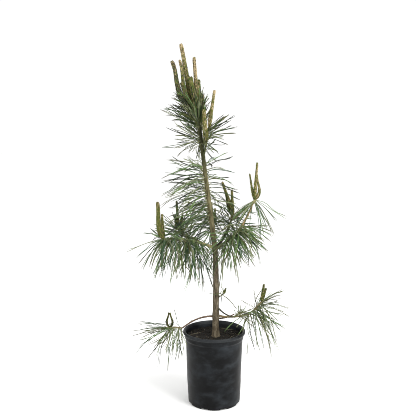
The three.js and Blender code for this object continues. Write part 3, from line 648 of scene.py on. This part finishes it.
# For each region: pairs for each needle of its tables, how stout and how curled they are, and the shares of
# the spray colours.
LOOKS = {
    "lower": (1.75, 0.82, 0.36, (0.14, 0.16, 0.08, 0.22, 0.16, 0.24)),
    "mid_left": (2.0, 1.0, 0.26, (0.11, 0.16, 0.20, 0.06, 0.25, 0.22)),
    "mid_right": (1.8, 1.0, 0.26, (0.06, 0.15, 0.18, 0.11, 0.31, 0.19)),
    "stem": (1.9, 1.06, 0.36, (0.30, 0.18, 0.06, 0.14, 0.12, 0.20)),
    "top": (1.5, 1.06, 0.36, (0.34, 0.20, 0.00, 0.22, 0.06, 0.18)),
}


def trunk_line(z):
    """The trunk's centreline at heights: upright to the bend, then one steady lean."""
    z = np.asarray(z, float)
    leaning = TRUNK_BEND_REACH * np.log1p(np.exp((z - TRUNK_BEND_HEIGHT) / TRUNK_BEND_REACH))
    sway = 2 * np.sin((z - SOIL_TOP) / 95)
    x = TRUNK_FOOT_X - math.tan(math.radians(TRUNK_LEAN)) * leaning + sway * 0.5
    return np.stack([x, sway, z], axis=-1)


def trunk_radius(z):
    z = np.asarray(z, float)
    share = (z - SOIL_TOP) / (TRUNK_TIP_HEIGHT - SOIL_TOP)
    radius = TRUNK_FOOT_RADIUS + (TRUNK_TIP_RADIUS - TRUNK_FOOT_RADIUS) * share
    radius = radius + ROOT_FLARE * np.exp(-(z - SOIL_TOP) / ROOT_FLARE_REACH)
    for whorl in WHORL_HEIGHTS:
        radius = radius + WHORL_SWELL * np.exp(-(((z - whorl) / WHORL_REACH) ** 2))
    return radius


def limb_line(start, limb):
    """The curve of a bough or stem from its start, for shares along it."""
    chord = heading(limb["bearing"]) * limb["reach"] + UP * limb["rise"]

    def curve(t):
        t = np.asarray(t, float)[..., None]
        return start + chord * t + UP * 4 * limb["arch"] * t * (1 - t)

    return curve


def candle_line(start, shoot):
    """A candle leaves its whorl outwards and straightens up."""
    out = heading(shoot["bearing"])

    def curve(t):
        t = np.asarray(t, float)[..., None]
        return start + out * shoot["reach"] * (t + shoot["bow"] * t * (1 - t) ** 2) + UP * shoot["rise"] * t

    return curve


def ahead_of(curve, t):
    step = 0.02
    return unit(curve(min(t + step, 1)) - curve(max(t - step, 0)))


def spread_direction(stem, spread, twist):
    """Turns the stem's direction by spread towards a side that is twist round it."""
    first = unit(np.cross(ACROSS if abs(stem[2]) > STEEP else UP, stem))
    second = np.cross(stem, first)
    side = first * math.cos(math.radians(twist)) + second * math.sin(math.radians(twist))
    return stem * math.cos(math.radians(spread)) + side * math.sin(math.radians(spread))


def in_open_air(points):
    """Whether a needle stays above the floor, outside the container, and out of the trunk past its root."""
    past = points[2:]
    outward = np.hypot(past[:, 0], past[:, 1])
    in_pot = (past[:, 2] < POT_HEIGHT + NEEDLE_OVER_POT) & (outward < RIM_RADIUS + NEEDLE_OFF_RIM)
    if np.any(in_pot | (past[:, 2] < NEEDLE_OFF_FLOOR)):
        return False
    heights = np.clip(past[:, 2], SOIL_TOP, TRUNK_TIP_HEIGHT)
    away = np.linalg.norm((past - trunk_line(heights))[:, :2], axis=1)
    clear = away > trunk_radius(heights) + NEEDLE_OFF_TRUNK
    return bool(np.all(clear | (past[:, 2] > TRUNK_TIP_HEIGHT)))


SHARES = np.linspace(0, 1, NEEDLE_STEPS + 1)


def needle_line(root, direction, length, droop, curl, hook, wave):
    """A needle that sags by droop, curls to one side all along, hooks at its tip and waves a little."""
    s = SHARES[:, None]
    return root + direction * length * s + length * ((curl - UP * droop) * s**2 + hook * s**4 + wave)


class Needles:
    """The pairs of needles of one region, which become one mesh. Each mass has a seed of its own."""

    PROFILE = np.interp(SHARES, [0, 0.12, 0.6, 0.95, 1], [0.6, 0.86, 1.1, 1.1, 0.4])

    def __init__(self, look):
        self.finer, self.stout, self.curl, self.weights = look
        self.lines = []
        self.slots = []
        self.sheaths = []
        self.random = None

    def pair(self, root, direction, area):
        """Two needles from one sheath. Returns whether they had room."""
        random = self.random
        length = area["length"] * random.uniform(SHORTEST, 1) * (1 - UPWARD_SHORTER * max(direction[2], 0))
        droop = area["droop"] * random.uniform(*DROOP_SHARE)
        side = unit(np.cross(direction, random.normal(size=3)))
        other = np.cross(direction, side)
        opening = math.radians(PAIR_OPENING) * random.uniform(0.4, 1.4)
        slot = NEEDLE_SLOTS[SPRAY_COLOURS[random.choice(len(SPRAY_COLOURS), p=self.weights)]]
        wild = WILD_LEAST + area["droop"]
        curl = self.curl * wild * random.normal()
        hook = HOOK * wild * random.normal()
        made = []
        for way in (-1, 1):
            own = unit(direction * math.cos(opening) + side * math.sin(opening) * way)
            bend = side * (curl + OWN_CURL * random.normal())
            tip = other * (hook + OWN_HOOK * random.normal())
            turn = random.uniform(0, 2 * math.pi)
            waves = np.sin(turn + 2 * math.pi * random.uniform(*WAVES) * SHARES) - math.sin(turn)
            wave = WAVE * random.normal() * waves[:, None] * (side if random.random() < 0.5 else other)
            made.append(needle_line(root, own, length * random.uniform(0.92, 1), droop, bend, tip, wave))
        if not all(in_open_air(line) for line in made):
            return False
        self.lines.extend(made)
        self.slots.extend([slot, slot])
        self.sheaths.append((root, direction))
        return True

    def grow(self, area, place):
        """The needles of one zone, by the rule of the solids. place gives a pair's root and direction."""
        count = round(area["count"] * self.finer)
        for i in range(count):
            for attempt in range(TRIES):
                share = (i + self.random.random()) / count
                root, direction = place(area, share, i + attempt)
                if self.suits(area, direction) and self.pair(root, direction, area):
                    break

    def on_stem(self, curve):
        """Places along a stem, in a golden spiral with much jitter."""

        def place(area, share, turns):
            t = area["start"] + (area["end"] - area["start"]) * share
            spread = self.spread(area, share)
            twist = turns * GOLDEN_ANGLE + self.random.random() * TWIST_JITTER
            return curve(t), spread_direction(ahead_of(curve, t), spread, twist)

        return place

    def on_trunk(self, area, share, _):
        """A place on a stretch of the trunk, at a random bearing."""
        z = area["bottom"] + (area["top"] - area["bottom"]) * share
        out = heading(self.random.uniform(area["start"] + SLEEVE_MARGIN, area["end"] - SLEEVE_MARGIN))
        spread = math.radians(self.spread(area, share))
        direction = out * math.sin(spread) + UP * math.cos(spread)
        return trunk_line(z) + out * (trunk_radius(z) - 1), direction

    def spread(self, area, share):
        """The angle from the stem, wilder where the needles are limp."""
        wild = WILD_LEAST + area["droop"]
        jitter = SPREAD_JITTER * wild * self.random.uniform(-0.5, 0.5)
        return np.interp(share, [0, 1], area["spread"]) + jitter

    @staticmethod
    def suits(area, direction):
        """Whether a needle isn't too steep and faces the way that its zone asks for."""
        if direction[2] > area.get("highest", 1):
            return False
        if "facing" not in area:
            return True
        bearing = math.degrees(math.atan2(direction[1], direction[0]))
        return abs((bearing - area["facing"] + 180) % 360 - 180) <= area["window"]

    def make(self, name, materials):
        gathered = Gathered()
        lines = np.array(self.lines)
        radii = NEEDLE_RADIUS * self.stout * self.PROFILE * self.random.uniform(0.85, 1.1, (len(lines), 1))
        slots = np.repeat(np.array(self.slots)[:, None], NEEDLE_STEPS, axis=1)
        withered = self.random.random(len(slots)) < TIP_SHARE
        slots[withered, NEEDLE_STEPS - TIP_STEPS:] = NEEDLE_SLOTS["tip"]
        reference = unit(np.cross(lines[:, 1] - lines[:, 0], self.random.normal(size=(len(lines), 3))))
        add_tubes(gathered, lines, radii, NEEDLE_SIDES, slots, reference)
        # Sheaths at the pairs' roots, in the pale sheath colour that is partly painted light over the shaded
        # stems.
        roots, ways = (np.array(part) for part in zip(*self.sheaths))
        steps = np.array([-1.5, 0.4 * SHEATH_LENGTH, SHEATH_LENGTH])
        sheaths = roots[:, None] + ways[:, None] * steps[:, None]
        thickness = np.broadcast_to(SHEATH_RADIUS * np.array([1.1, 1.0, 0.75]), (len(roots), 3))
        add_tubes(gathered, sheaths, thickness, SHEATH_SIDES, NEEDLE_SLOTS["sheath"])
        return gathered.make(name, materials)


# Where every limb runs. A limb that continues another starts at its tip.
curves = {}
waiting = list({**BOUGHS, **MASSES}.items())
while waiting:
    name, limb = waiting.pop(0)
    if "after" in limb and limb["after"] not in curves:
        waiting.append((name, limb))
        continue
    start = curves[limb["after"]](1.0) if "after" in limb else trunk_line(limb["height"])
    curves[name] = limb_line(start, limb)
curves["leader_needles"] = limb_line(trunk_line(TRUNK_TIP_HEIGHT), LEADER)


def finish_piece(piece, slot, *nodes):
    """Every piece rides on the one body and stands for its nodes, whose solids it hides. The slot is not
    used.
    """
    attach(piece, "root")
    if nodes:
        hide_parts(*nodes)


# Container
def pot_rows(notch):
    """The wall's outline from the middle of the underside round to the middle of the floor inside."""
    wall_top = POT_HEIGHT - COLLAR_HEIGHT
    wall_end = wall_top - 2
    step_in = COLLAR_RADIUS - COLLAR_STEP
    foot = NOTCH_HEIGHT if notch else 0
    edge = BASE_RADIUS - 1.2 if notch else BASE_RADIUS - 3.6
    underside = [(0.01, FOOT_RECESS), (40, FOOT_RECESS), (FOOT_RING - 1, FOOT_RECESS), (FOOT_RING, foot)]
    foot_edge = [(edge, foot), (BASE_RADIUS - 0.7, max(foot, 1.4)), (BASE_RADIUS, WALL_FOOT)]
    wall = [
        (BASE_RADIUS + (step_in - BASE_RADIUS) * (z - WALL_FOOT) / (wall_end - WALL_FOOT), z)
        for z in np.linspace(WALL_FOOT, wall_end, WALL_ROWS)[1:]
    ]
    collar = [(COLLAR_RADIUS + out, wall_top + up) for out, up in COLLAR_ROWS]
    lip = [(RIM_RADIUS - inset, POT_HEIGHT - drop) for inset, drop in LIP_ROWS]
    inside = [
        (COLLAR_RADIUS - WALL, POT_HEIGHT - 4),
        (COLLAR_RADIUS - WALL, wall_top + 3),
        (step_in - WALL, wall_end),
        (BASE_RADIUS - WALL, POT_FLOOR + 2),
        (BASE_RADIUS - WALL - 2, POT_FLOOR),
        (0.01, POT_FLOOR),
    ]
    return np.array([*underside, *foot_edge, *wall, *collar, *lip, *inside])


def make_pot(materials):
    plain = pot_rows(False)
    notched = pot_rows(True)
    columns = []
    spacing = POT_SEGMENTS // DRAIN_NOTCHES
    first = (spacing - NOTCH_COLUMNS) // 2
    for i in range(POT_SEGMENTS):
        angle = 2 * math.pi * i / POT_SEGMENTS
        step = i % spacing
        inside = first <= step <= first + NOTCH_COLUMNS
        if step == first:
            columns.append((angle, plain))
        columns.append((angle, notched if inside else plain))
        if step == first + NOTCH_COLUMNS:
            columns.append((angle, plain))
    rows = np.array([row for _, row in columns])
    turn = np.array([angle for angle, _ in columns])[:, None]
    wave = Noise(WALL_SEED)
    spots = around(rows[..., 0], turn, rows[..., 1])
    wall_share = np.clip((rows[..., 1] - 8) / 30, 0, 1) * np.clip((POT_HEIGHT - 30 - rows[..., 1]) / 24, 0, 1)
    outer = rows[..., 0] > BASE_RADIUS - 1
    swell = WALL_WAVE * wave(spots / WALL_WAVE_LENGTH) + 0.25 * wave(spots / 17 + 9)
    radius = rows[..., 0] + swell * wall_share * outer
    points = around(radius, turn, rows[..., 1])
    quads = closed_grid(numbered(*points.shape[:2]), 0)
    gathered = Gathered()
    gathered.add(points, [quads.reshape(-1, 4)], 0)
    pot = gathered.make("pot_moulded", materials)
    tidy_mesh(pot, 0.02)
    return pot


def tidy_mesh(piece, distance):
    """Merges points that meet and drops faces that have no area."""
    work = bmesh.new()
    work.from_mesh(piece.data)
    bmesh.ops.remove_doubles(work, verts=work.verts, dist=distance * MM)
    bmesh.ops.dissolve_degenerate(work, edges=work.edges, dist=distance * MM * 0.5)
    bmesh.ops.recalc_face_normals(work, faces=work.faces)
    work.to_mesh(piece.data)
    work.free()


finish_piece(make_pot([pot_material()]), "pot_plastic", "pot")


# Compost: a lumpy crumbled top inside the container, with chips and a few dead needles on it.
def soil_height(x, y, noises):
    outward = np.hypot(x, y)
    lumps = SOIL_LUMP * np.sin(x * 0.13 + 1) * np.cos(y * 0.11 + x * 0.05)
    lumps = lumps * np.clip((outward - 22) / 16, 0, 1)
    spots = np.stack([x, y, np.zeros_like(x)], axis=-1)
    crumbs = sum(high * noises(spots / apart + shift) for high, apart, shift in CRUMBS)
    return SOIL_TOP + 0.8 + lumps + crumbs


def make_soil(materials):
    noises = Noise(CRUMB_SEED)
    radii = np.linspace(0.4, SOIL_RADIUS, SOIL_RINGS)
    turn = 2 * math.pi * np.arange(SOIL_COLUMNS) / SOIL_COLUMNS
    x = radii[:, None] * np.cos(turn)
    y = radii[:, None] * np.sin(turn)
    top = around(radii[:, None], turn, soil_height(x, y, noises))
    skirt = around(SOIL_RADIUS, turn, SOIL_TOP - 12)
    points = np.concatenate([top, skirt[None]])
    number = numbered(*points.shape[:2])
    beside = np.roll(number, -1, axis=1)
    quads = np.stack([number[:-1], number[1:], beside[1:], beside[:-1]], axis=-1)
    gathered = Gathered()
    gathered.add(points, [quads.reshape(-1, 4), [number[0]], [number[-1][::-1]]], 0)
    random = np.random.default_rng(CHIP_SEED)
    for _ in range(CHIPS):
        place = unit(random.normal(size=2)) * CHIPS_REACH * math.sqrt(random.uniform(0.03, 1))
        size = np.array([random.uniform(3, 9), random.uniform(2, 4), random.uniform(0.8, 2)])
        add_chip(gathered, place, size, random, noises)
    for _ in range(DEAD_NEEDLES):
        add_dead_needle(gathered, random, noises)
    return gathered.make("compost_crumbled", materials)


def add_chip(gathered, place, size, random, noises):
    """A small irregular flake of bark or coarse peat."""
    corners = np.array(list(np.ndindex(2, 2, 2))) * 2.0 - 1
    corners *= size / 2 * random.uniform(0.6, 1.1, (8, 3))
    turn, tilt = random.uniform(0, 2 * math.pi), random.normal() * 0.35
    about_z = np.array([[math.cos(turn), -math.sin(turn), 0], [math.sin(turn), math.cos(turn), 0], [0, 0, 1]])
    about_x = np.array([[1, 0, 0], [0, math.cos(tilt), -math.sin(tilt)], [0, math.sin(tilt), math.cos(tilt)]])
    height = float(soil_height(np.array(place[0]), np.array(place[1]), noises)) + 0.5
    points = corners @ about_x.T @ about_z.T + [place[0], place[1], height]
    faces = [[0, 1, 3, 2], [4, 6, 7, 5], [0, 4, 5, 1], [2, 3, 7, 6], [0, 2, 6, 4], [1, 5, 7, 3]]
    gathered.add(points, [faces], int(random.choice([1, 2, 3], p=[0.66, 0.28, 0.06])))


def add_dead_needle(gathered, random, noises):
    """A fallen pale needle that lies on the crumbs."""
    start = unit(random.normal(size=2)) * DEAD_NEEDLES_REACH * math.sqrt(random.uniform(0.1, 1))
    way = heading(random.uniform(0, 360))[:2]
    length = random.uniform(35, 75)
    side = np.array([-way[1], way[0]])
    s = np.linspace(0, 1, 9)[:, None]
    flat = start + way * length * s + side * length * 0.12 * s * s
    flat = flat[np.hypot(flat[:, 0], flat[:, 1]) < CHIPS_REACH + 2]
    if len(flat) < 4:
        return
    height = soil_height(flat[:, 0], flat[:, 1], noises) + 1.4
    line = np.column_stack([flat, np.maximum(height, height.mean())])
    radii = np.full((1, len(line)), 0.6)
    add_tubes(gathered, line[None], radii, 4, 4)


SOIL_MATERIALS = [
    soil_material(),
    bark_material("chip_dark", (28, 25, 21), (52, 45, 36), 500),
    bark_material("chip_brown", (52, 43, 33), (84, 70, 52), 500),
    bark_material("chip_pale", (98, 90, 76), (134, 126, 110), 500),
    bark_material("dead_needle", (112, 104, 84), (150, 142, 120), 300),
]
finish_piece(make_soil(SOIL_MATERIALS), "compost", "soil")


def curve_length(curve):
    return float(np.linalg.norm(np.diff(curve(np.linspace(0, 1, 20)), axis=0), axis=1).sum())


def needle_bases(along, turn, radius, pitch, tall, wide):
    """The swellings that old needles leave, in a spiral from where along is 0 to its end."""
    bases = np.zeros(np.broadcast(along, turn).shape)
    for i in range(int(along.max() / pitch)):
        off = (turn - math.radians(i * GOLDEN_ANGLE) + math.pi) % (2 * math.pi) - math.pi
        bases += np.exp(-(((along - i * pitch) / tall) ** 2) - (off * radius / wide) ** 2)
    return bases


# Trunk: fissured low down, smoother above with the scars and swellings of old needles.
def make_trunk(materials):
    heights = np.arange(SOIL_TOP - 4, TRUNK_TIP_HEIGHT + 0.1, TRUNK_STEP)
    line = trunk_line(heights)
    turn = 2 * math.pi * np.arange(TRUNK_COLUMNS) / TRUNK_COLUMNS
    radius = trunk_radius(np.maximum(heights, SOIL_TOP))[:, None]
    spots = around(radius, turn, heights[:, None]) + (line * [1, 1, 0])[:, None]
    noises = Noise(TRUNK_SEED)
    age = np.clip((BARK_AGED_BELOW - heights) / BARK_AGED_BLEND, 0, 1)[:, None]
    fissures = np.abs(noises(spots / [5, 5, 26])) + 0.5 * np.abs(noises(spots / [3, 3, 11] + 7))
    relief = 0.5 - 1.5 * (FISSURE - np.minimum(fissures, FISSURE)) / FISSURE
    plates = 0.35 * noises(spots / 7 + 3)
    young = 0.25 * noises(spots / [4, 4, 7] + 13)
    scars = needle_bases(heights[:, None] - SCARS_FROM, turn, radius, SCAR_PITCH, SCAR_HEIGHT, SCAR_WIDTH)
    fading = np.exp(-np.maximum(heights[:, None] - SOIL_TOP, 0) / 16)
    lobes = ROOT_LOBE_DEPTH * np.cos(ROOT_LOBES * turn + 0.8) * fading
    shape = radius + age * (0.75 * relief + plates) + (1 - age) * young
    shape = shape + 0.7 * np.minimum(scars, 1.2) * (1 - age * 0.6) + lobes
    gathered = Gathered()
    add_tubes(gathered, line[None], shape[None], TRUNK_COLUMNS, 0, reference=np.array([[0.0, 1.0, 0.0]]))
    return gathered.make("trunk_bark", materials)


finish_piece(make_trunk([trunk_material()]), "bark", "trunk")


# Boughs and twigs: rough with the bases of old needles, set in a spiral.
LIMB_SHADES = {
    "reddish": ((82, 66, 52), (136, 112, 92), 160),
    "tan": ((104, 90, 62), (168, 148, 112), 160),
    "yellow_green": ((84, 84, 50), (158, 150, 104), 220),
    # Straw is partly the mid-left bough's own pale bark and partly a painted highlight on it.
    "straw": ((122, 114, 70), (200, 188, 140), 220),
    "green": ((48, 54, 34), (92, 96, 58), 220),
    # Fresh is partly the young stems' own green and partly painted light that lifts the shade where needles
    # crowd the stems.
    "fresh": ((88, 104, 62), (150, 160, 112), 220),
    "grey": ((50, 50, 44), (96, 92, 76), 160),
    "orange": ((140, 118, 82), (190, 166, 122), 160),
}
LIMB_MATERIALS = [bark_material("bark_" + name, *look) for name, look in LIMB_SHADES.items()]
LIMB_SLOTS = {name: i for i, name in enumerate(LIMB_SHADES)}
# The limbs of each finish. All others are green.
LIMB_FINISHES = {
    "reddish": "lower_left_bough lower_right_rear_bough",
    "tan": "lower_right_bough lower_left_needles lower_right_needles",
    "grey": "lower_right_upper_bough mid_right_bough mid_right_rear_bough mid_rear_bough trunk_tuft_needles",
    # The mid-left bough's straw is partly its own colour and partly a painted highlight.
    "straw": "mid_left_bough",
    "yellow_green": "mid_left_rear_bough lower_right_side_needles mid_right_tip_needles",
    "orange": "mid_right_outer_bough",
    # The fresh stems are partly their own green and partly painted light over their shade.
    "fresh": "mid_left_needles mid_right_needles",
}
LIMB_FINISH = {limb: finish for finish, limbs in LIMB_FINISHES.items() for limb in limbs.split()}


def add_limb(gathered, curve, limb, columns, slot, seed, collar):
    """A tapering limb with its needle bases in relief, and a swollen collar where it leaves the trunk."""
    length = curve_length(curve)
    stations = max(6, int(length / BOUGH_STEP))
    shares = np.linspace(0, 1, stations)
    line = curve(shares)
    turn = 2 * math.pi * np.arange(columns) / columns
    thick = limb["thick"]
    radius = (thick + (limb["thin"] - thick) * shares)[:, None]
    along = shares[:, None] * length
    noises = Noise(seed)
    spots = around(radius, turn, along)
    bases = needle_bases(along, turn, radius, LIMB_SCAR_PITCH, LIMB_SCAR_LENGTH, LIMB_SCAR_WIDTH)
    shape = radius * 0.94 + 0.16 * thick * np.minimum(bases, 1.3) + 0.22 * noises(spots / [2.5, 2.5, 6])
    shape = shape + collar * np.exp(-along / 14)
    add_tubes(gathered, line[None], shape[None], columns, slot)


def make_limbs(piece_name, limbs, columns, seed, trunk_collar=0.0):
    gathered = Gathered()
    for i, (name, limb) in enumerate(limbs.items()):
        collar = 0.0 if "after" in limb else trunk_collar
        slot = LIMB_SLOTS[LIMB_FINISH.get(name, "green")]
        add_limb(gathered, curves[name], limb, columns, slot, seed + i, collar)
    return gathered.make(piece_name, LIMB_MATERIALS)


STEMS = {**MASSES, "leader_needles": LEADER}
boughs = make_limbs("boughs_bark", BOUGHS, BOUGH_COLUMNS, BOUGH_SEED, BOUGH_COLLAR)
finish_piece(boughs, "twig_bark", *BOUGHS)
finish_piece(make_limbs("twigs_bark", STEMS, TWIG_COLUMNS, TWIG_SEED), "twig_bark")


# Candles: a core under spiralling scales, with green ones that open out below and dry ones above.
CANDLE_COLOURS = {
    "straw": (204, 184, 142),
    "tan": (160, 142, 104),
    "brown": (110, 98, 74),
    "olive": (124, 126, 62),
    "green": (88, 102, 46),
    "leaf": (84, 108, 66),
    "dark": (56, 60, 34),
}
CANDLE_SLOTS = {name: i for i, name in enumerate(CANDLE_COLOURS)}


def percent(*parts):
    return [part / 100 for part in parts]


# For each kind of candle: the height share about which it turns dry, and its colours' shares below and above.
CANDLE_KINDS = {
    "straw": (0.80, percent(4, 14, 10, 44, 20, 0, 8), percent(30, 48, 12, 8, 0, 0, 2)),
    "speckled": (0.50, percent(5, 16, 16, 33, 18, 4, 8), percent(30, 40, 16, 8, 0, 0, 6)),
    "mixed": (0.80, percent(0, 10, 14, 30, 22, 14, 10), percent(24, 40, 20, 8, 0, 0, 8)),
    "olive": (0.92, percent(2, 10, 10, 40, 24, 0, 14), percent(24, 50, 16, 10, 0, 0, 0)),
    "fresh": (0.94, percent(2, 10, 4, 46, 32, 0, 6), percent(10, 60, 14, 16, 0, 0, 0)),
    "brown": (0.86, percent(0, 4, 20, 8, 10, 10, 48), percent(8, 30, 40, 4, 0, 0, 18)),
    "light": (0.84, percent(34, 10, 0, 48, 8, 0, 0), percent(100, 0, 0, 0, 0, 0, 0)),
}
NEVER_DRY = 1.5
LIVE_KINDS = {
    "pale": percent(22, 12, 0, 46, 14, 4, 2),
    "green": percent(3, 6, 6, 38, 32, 0, 15),
    "leafy": percent(0, 0, 0, 10, 20, 54, 16),
    "dark": percent(0, 3, 13, 20, 26, 0, 38),
}
CANDLE_KINDS |= {kind: (NEVER_DRY, parts, parts) for kind, parts in LIVE_KINDS.items()}
DRY_BLEND = 0.3


def candle_profile(t):
    """A candle's radius as a share of its fullest, from its foot to its rounded tip."""
    return np.interp(t, CANDLE_OUTLINE_AT, CANDLE_OUTLINE)


def add_candle(gathered, curve, shoot, random):
    """A core under scales in a spiral, which stand open below, where needles push out, and close above."""
    dry_from, below, above = CANDLE_KINDS[shoot["kind"]]
    radius = shoot["radius"]
    length = curve_length(curve)
    shares = np.linspace(0, 1, int(length / CANDLE_STEP))
    core = radius * CORE_SHARE * candle_profile(shares)
    body = np.where(shares[1:] < dry_from, CANDLE_SLOTS["dark"], CANDLE_SLOTS["brown"])
    add_tubes(gathered, curve(shares)[None], core[None], CANDLE_COLUMNS, body[None])
    count = int(2 * math.pi * radius * length / SCALE_AREA)
    t = (np.arange(count) + 0.5) / count * SCALES_END
    angle = np.radians(np.arange(count) * GOLDEN_ANGLE) + random.uniform(0, 2 * math.pi)
    stem = unit(curve(np.minimum(t + 0.01, 1)) - curve(np.maximum(t - 0.01, 0)))
    first = unit(np.cross(heading(shoot["bearing"] + 90), stem))
    second = np.cross(stem, first)
    out = first * np.cos(angle)[:, None] + second * np.sin(angle)[:, None]
    at = curve(t) + out * (radius * CORE_SHARE * candle_profile(t))[:, None]
    open_share = np.clip((OPEN_BELOW - t) / OPEN_BLEND, 0, 1)
    closing = CLOSING * np.clip((t - CLOSED_FROM) / CLOSED_BLEND, 0, 1)
    open_out = (SCALE_LIFT + SCALE_OPENING * open_share) * random.uniform(0.5, 1.5, count) - closing
    reach = SCALE_REACH * (1 + open_share) * random.uniform(0.7, 1.3, count) * (0.5 + 0.09 * radius)
    way = unit(stem + out * open_out[:, None])
    lines = at[:, None] + way[:, None] * (reach[:, None] * np.array([0.0, 0.45, 1.0]))[..., None]
    radii = np.array(SCALE_RADII) * (0.5 + 0.08 * radius) * random.uniform(0.8, 1.2, (count, 1))
    dry = random.random(count) < (t - dry_from) / DRY_BLEND + 0.5
    wet_slots = random.choice(len(below), count, p=below)
    dry_slots = random.choice(len(above), count, p=above)
    slots = np.repeat(np.where(dry, dry_slots, wet_slots)[:, None], 2, axis=1)
    add_tubes(gathered, lines, radii, SCALE_SIDES, slots, reference=second)


def make_candles(name, shoots, materials, seed):
    gathered = Gathered()
    random = np.random.default_rng(seed)
    for start, shoot in shoots:
        add_candle(gathered, candle_line(start, shoot), shoot, random)
    return gathered.make(name, materials)


candle_materials = [needle_material("candle_" + name, shade, 0.2) for name, shade in CANDLE_COLOURS.items()]
side_shoots = []
for name, mass in MASSES.items():
    tip = curves[name](1.0) - ahead_of(curves[name], 1.0) * CANDLE_SINK
    side_shoots += [(tip, shoot) for shoot in mass["candles"]]
whorl = curves["leader_needles"](0.5)
leader_shoots = [(whorl, shoot) for shoot in LEADER["candles"]]
finish_piece(make_candles("candles_side", side_shoots, candle_materials, SIDE_CANDLE_SEED), "needles")
finish_piece(make_candles("candles_leader", leader_shoots, candle_materials, LEADER_CANDLE_SEED), "needles")


# Needles, in pieces by region: how the names of its masses start
REGIONS = {
    "lower": ("lower", "trunk_tuft"),
    "mid_left": ("mid_left", "mid_rear"),
    "mid_right": ("mid_right",),
    "stem": ("stem",),
    "top": ("upper", "top", "leader"),
}
ALL_MASSES = {**MASSES, **TRUNK_MASSES, "leader_needles": LEADER}
needle_materials = [
    needle_material("needle_" + name, shade, 0.2 if name in ("tip", "sheath") else 0.35)
    for name, shade in NEEDLE_COLOURS.items()
]
for region, starts in REGIONS.items():
    nodes = [name for name in ALL_MASSES if name.startswith(starts)]
    needles = Needles(LOOKS[region])
    for node in nodes:
        mass = ALL_MASSES[node]
        needles.random = np.random.default_rng(mass["seed"])
        if node in TRUNK_MASSES:
            needles.grow(mass, needles.on_trunk)
            continue
        for area in mass["zones"]:
            needles.grow(area, needles.on_stem(curves[node]))
    finish_piece(needles.make("needles_" + region, needle_materials), "needles", *nodes)


# Floor, light and camera. The floor's shades are its surface's own.
FLOOR_SIDE = 30000
FLOOR_SHADES = [(0.3, (250, 250, 249, 1)), (0.7, (253, 253, 252, 1))]
LIGHT_AIM = (0, 0, 500)
LIGHTS = [
    dict(name="key", place=(1700, -1500, 2300), side=1300, watts=70),
    dict(name="fill", place=(-1900, -1300, 1500), side=1600, watts=12),
]
WORLD_LIGHT = 1.06
PIXEL_FILTER = 0.95


def make_floor():
    half = FLOOR_SIDE / 2
    gathered = Gathered()
    corners = [[-half, -half, 0], [half, -half, 0], [half, half, 0], [-half, half, 0]]
    gathered.add(corners, [[[0, 1, 2, 3]]], 0)
    shader = Shader("floor_pale")
    shader.paint(shader.ramp(shader.noise(0.6, detail=2), FLOOR_SHADES))
    shader.bsdf.inputs["Roughness"].default_value = 0.9
    shader.gloss(0.1)
    return gathered.make("floor", [shader.material])


make_floor()


def make_light(name, place, side, watts):
    lamp = bpy.data.lights.new(name, "AREA")
    lamp.shape = "SQUARE"
    lamp.size = side * MM
    lamp.energy = watts
    direction = unit(np.array(LIGHT_AIM, float) - np.array(place, float))
    pitch = math.acos(-direction[2])
    turn = math.atan2(direction[1], direction[0]) - math.pi / 2
    place_object(name, lamp, place, (pitch, 0, turn))


for light in LIGHTS:
    make_light(**light)

world = bpy.data.worlds.new("studio")
bpy.context.scene.world = world
world.use_nodes = True
background = world.node_tree.nodes["Background"].inputs
background["Color"].default_value = (1.0, 1.0, 1.0, 1.0)
background["Strength"].default_value = WORLD_LIGHT

camera_data = bpy.data.cameras.new("camera")
camera_data.sensor_fit = "HORIZONTAL"
camera_data.sensor_width = CAMERA_SENSOR
camera_data.lens = CAMERA_LENS
camera_tilt = (math.radians(90 - CAMERA_PITCH), 0, 0)
bpy.context.scene.camera = place_object("camera", camera_data, CAMERA_PLACE, camera_tilt)
bpy.context.scene.view_settings.view_transform = "Standard"
bpy.context.scene.cycles.filter_width = PIXEL_FILTER

bpy.context.view_layer.update()
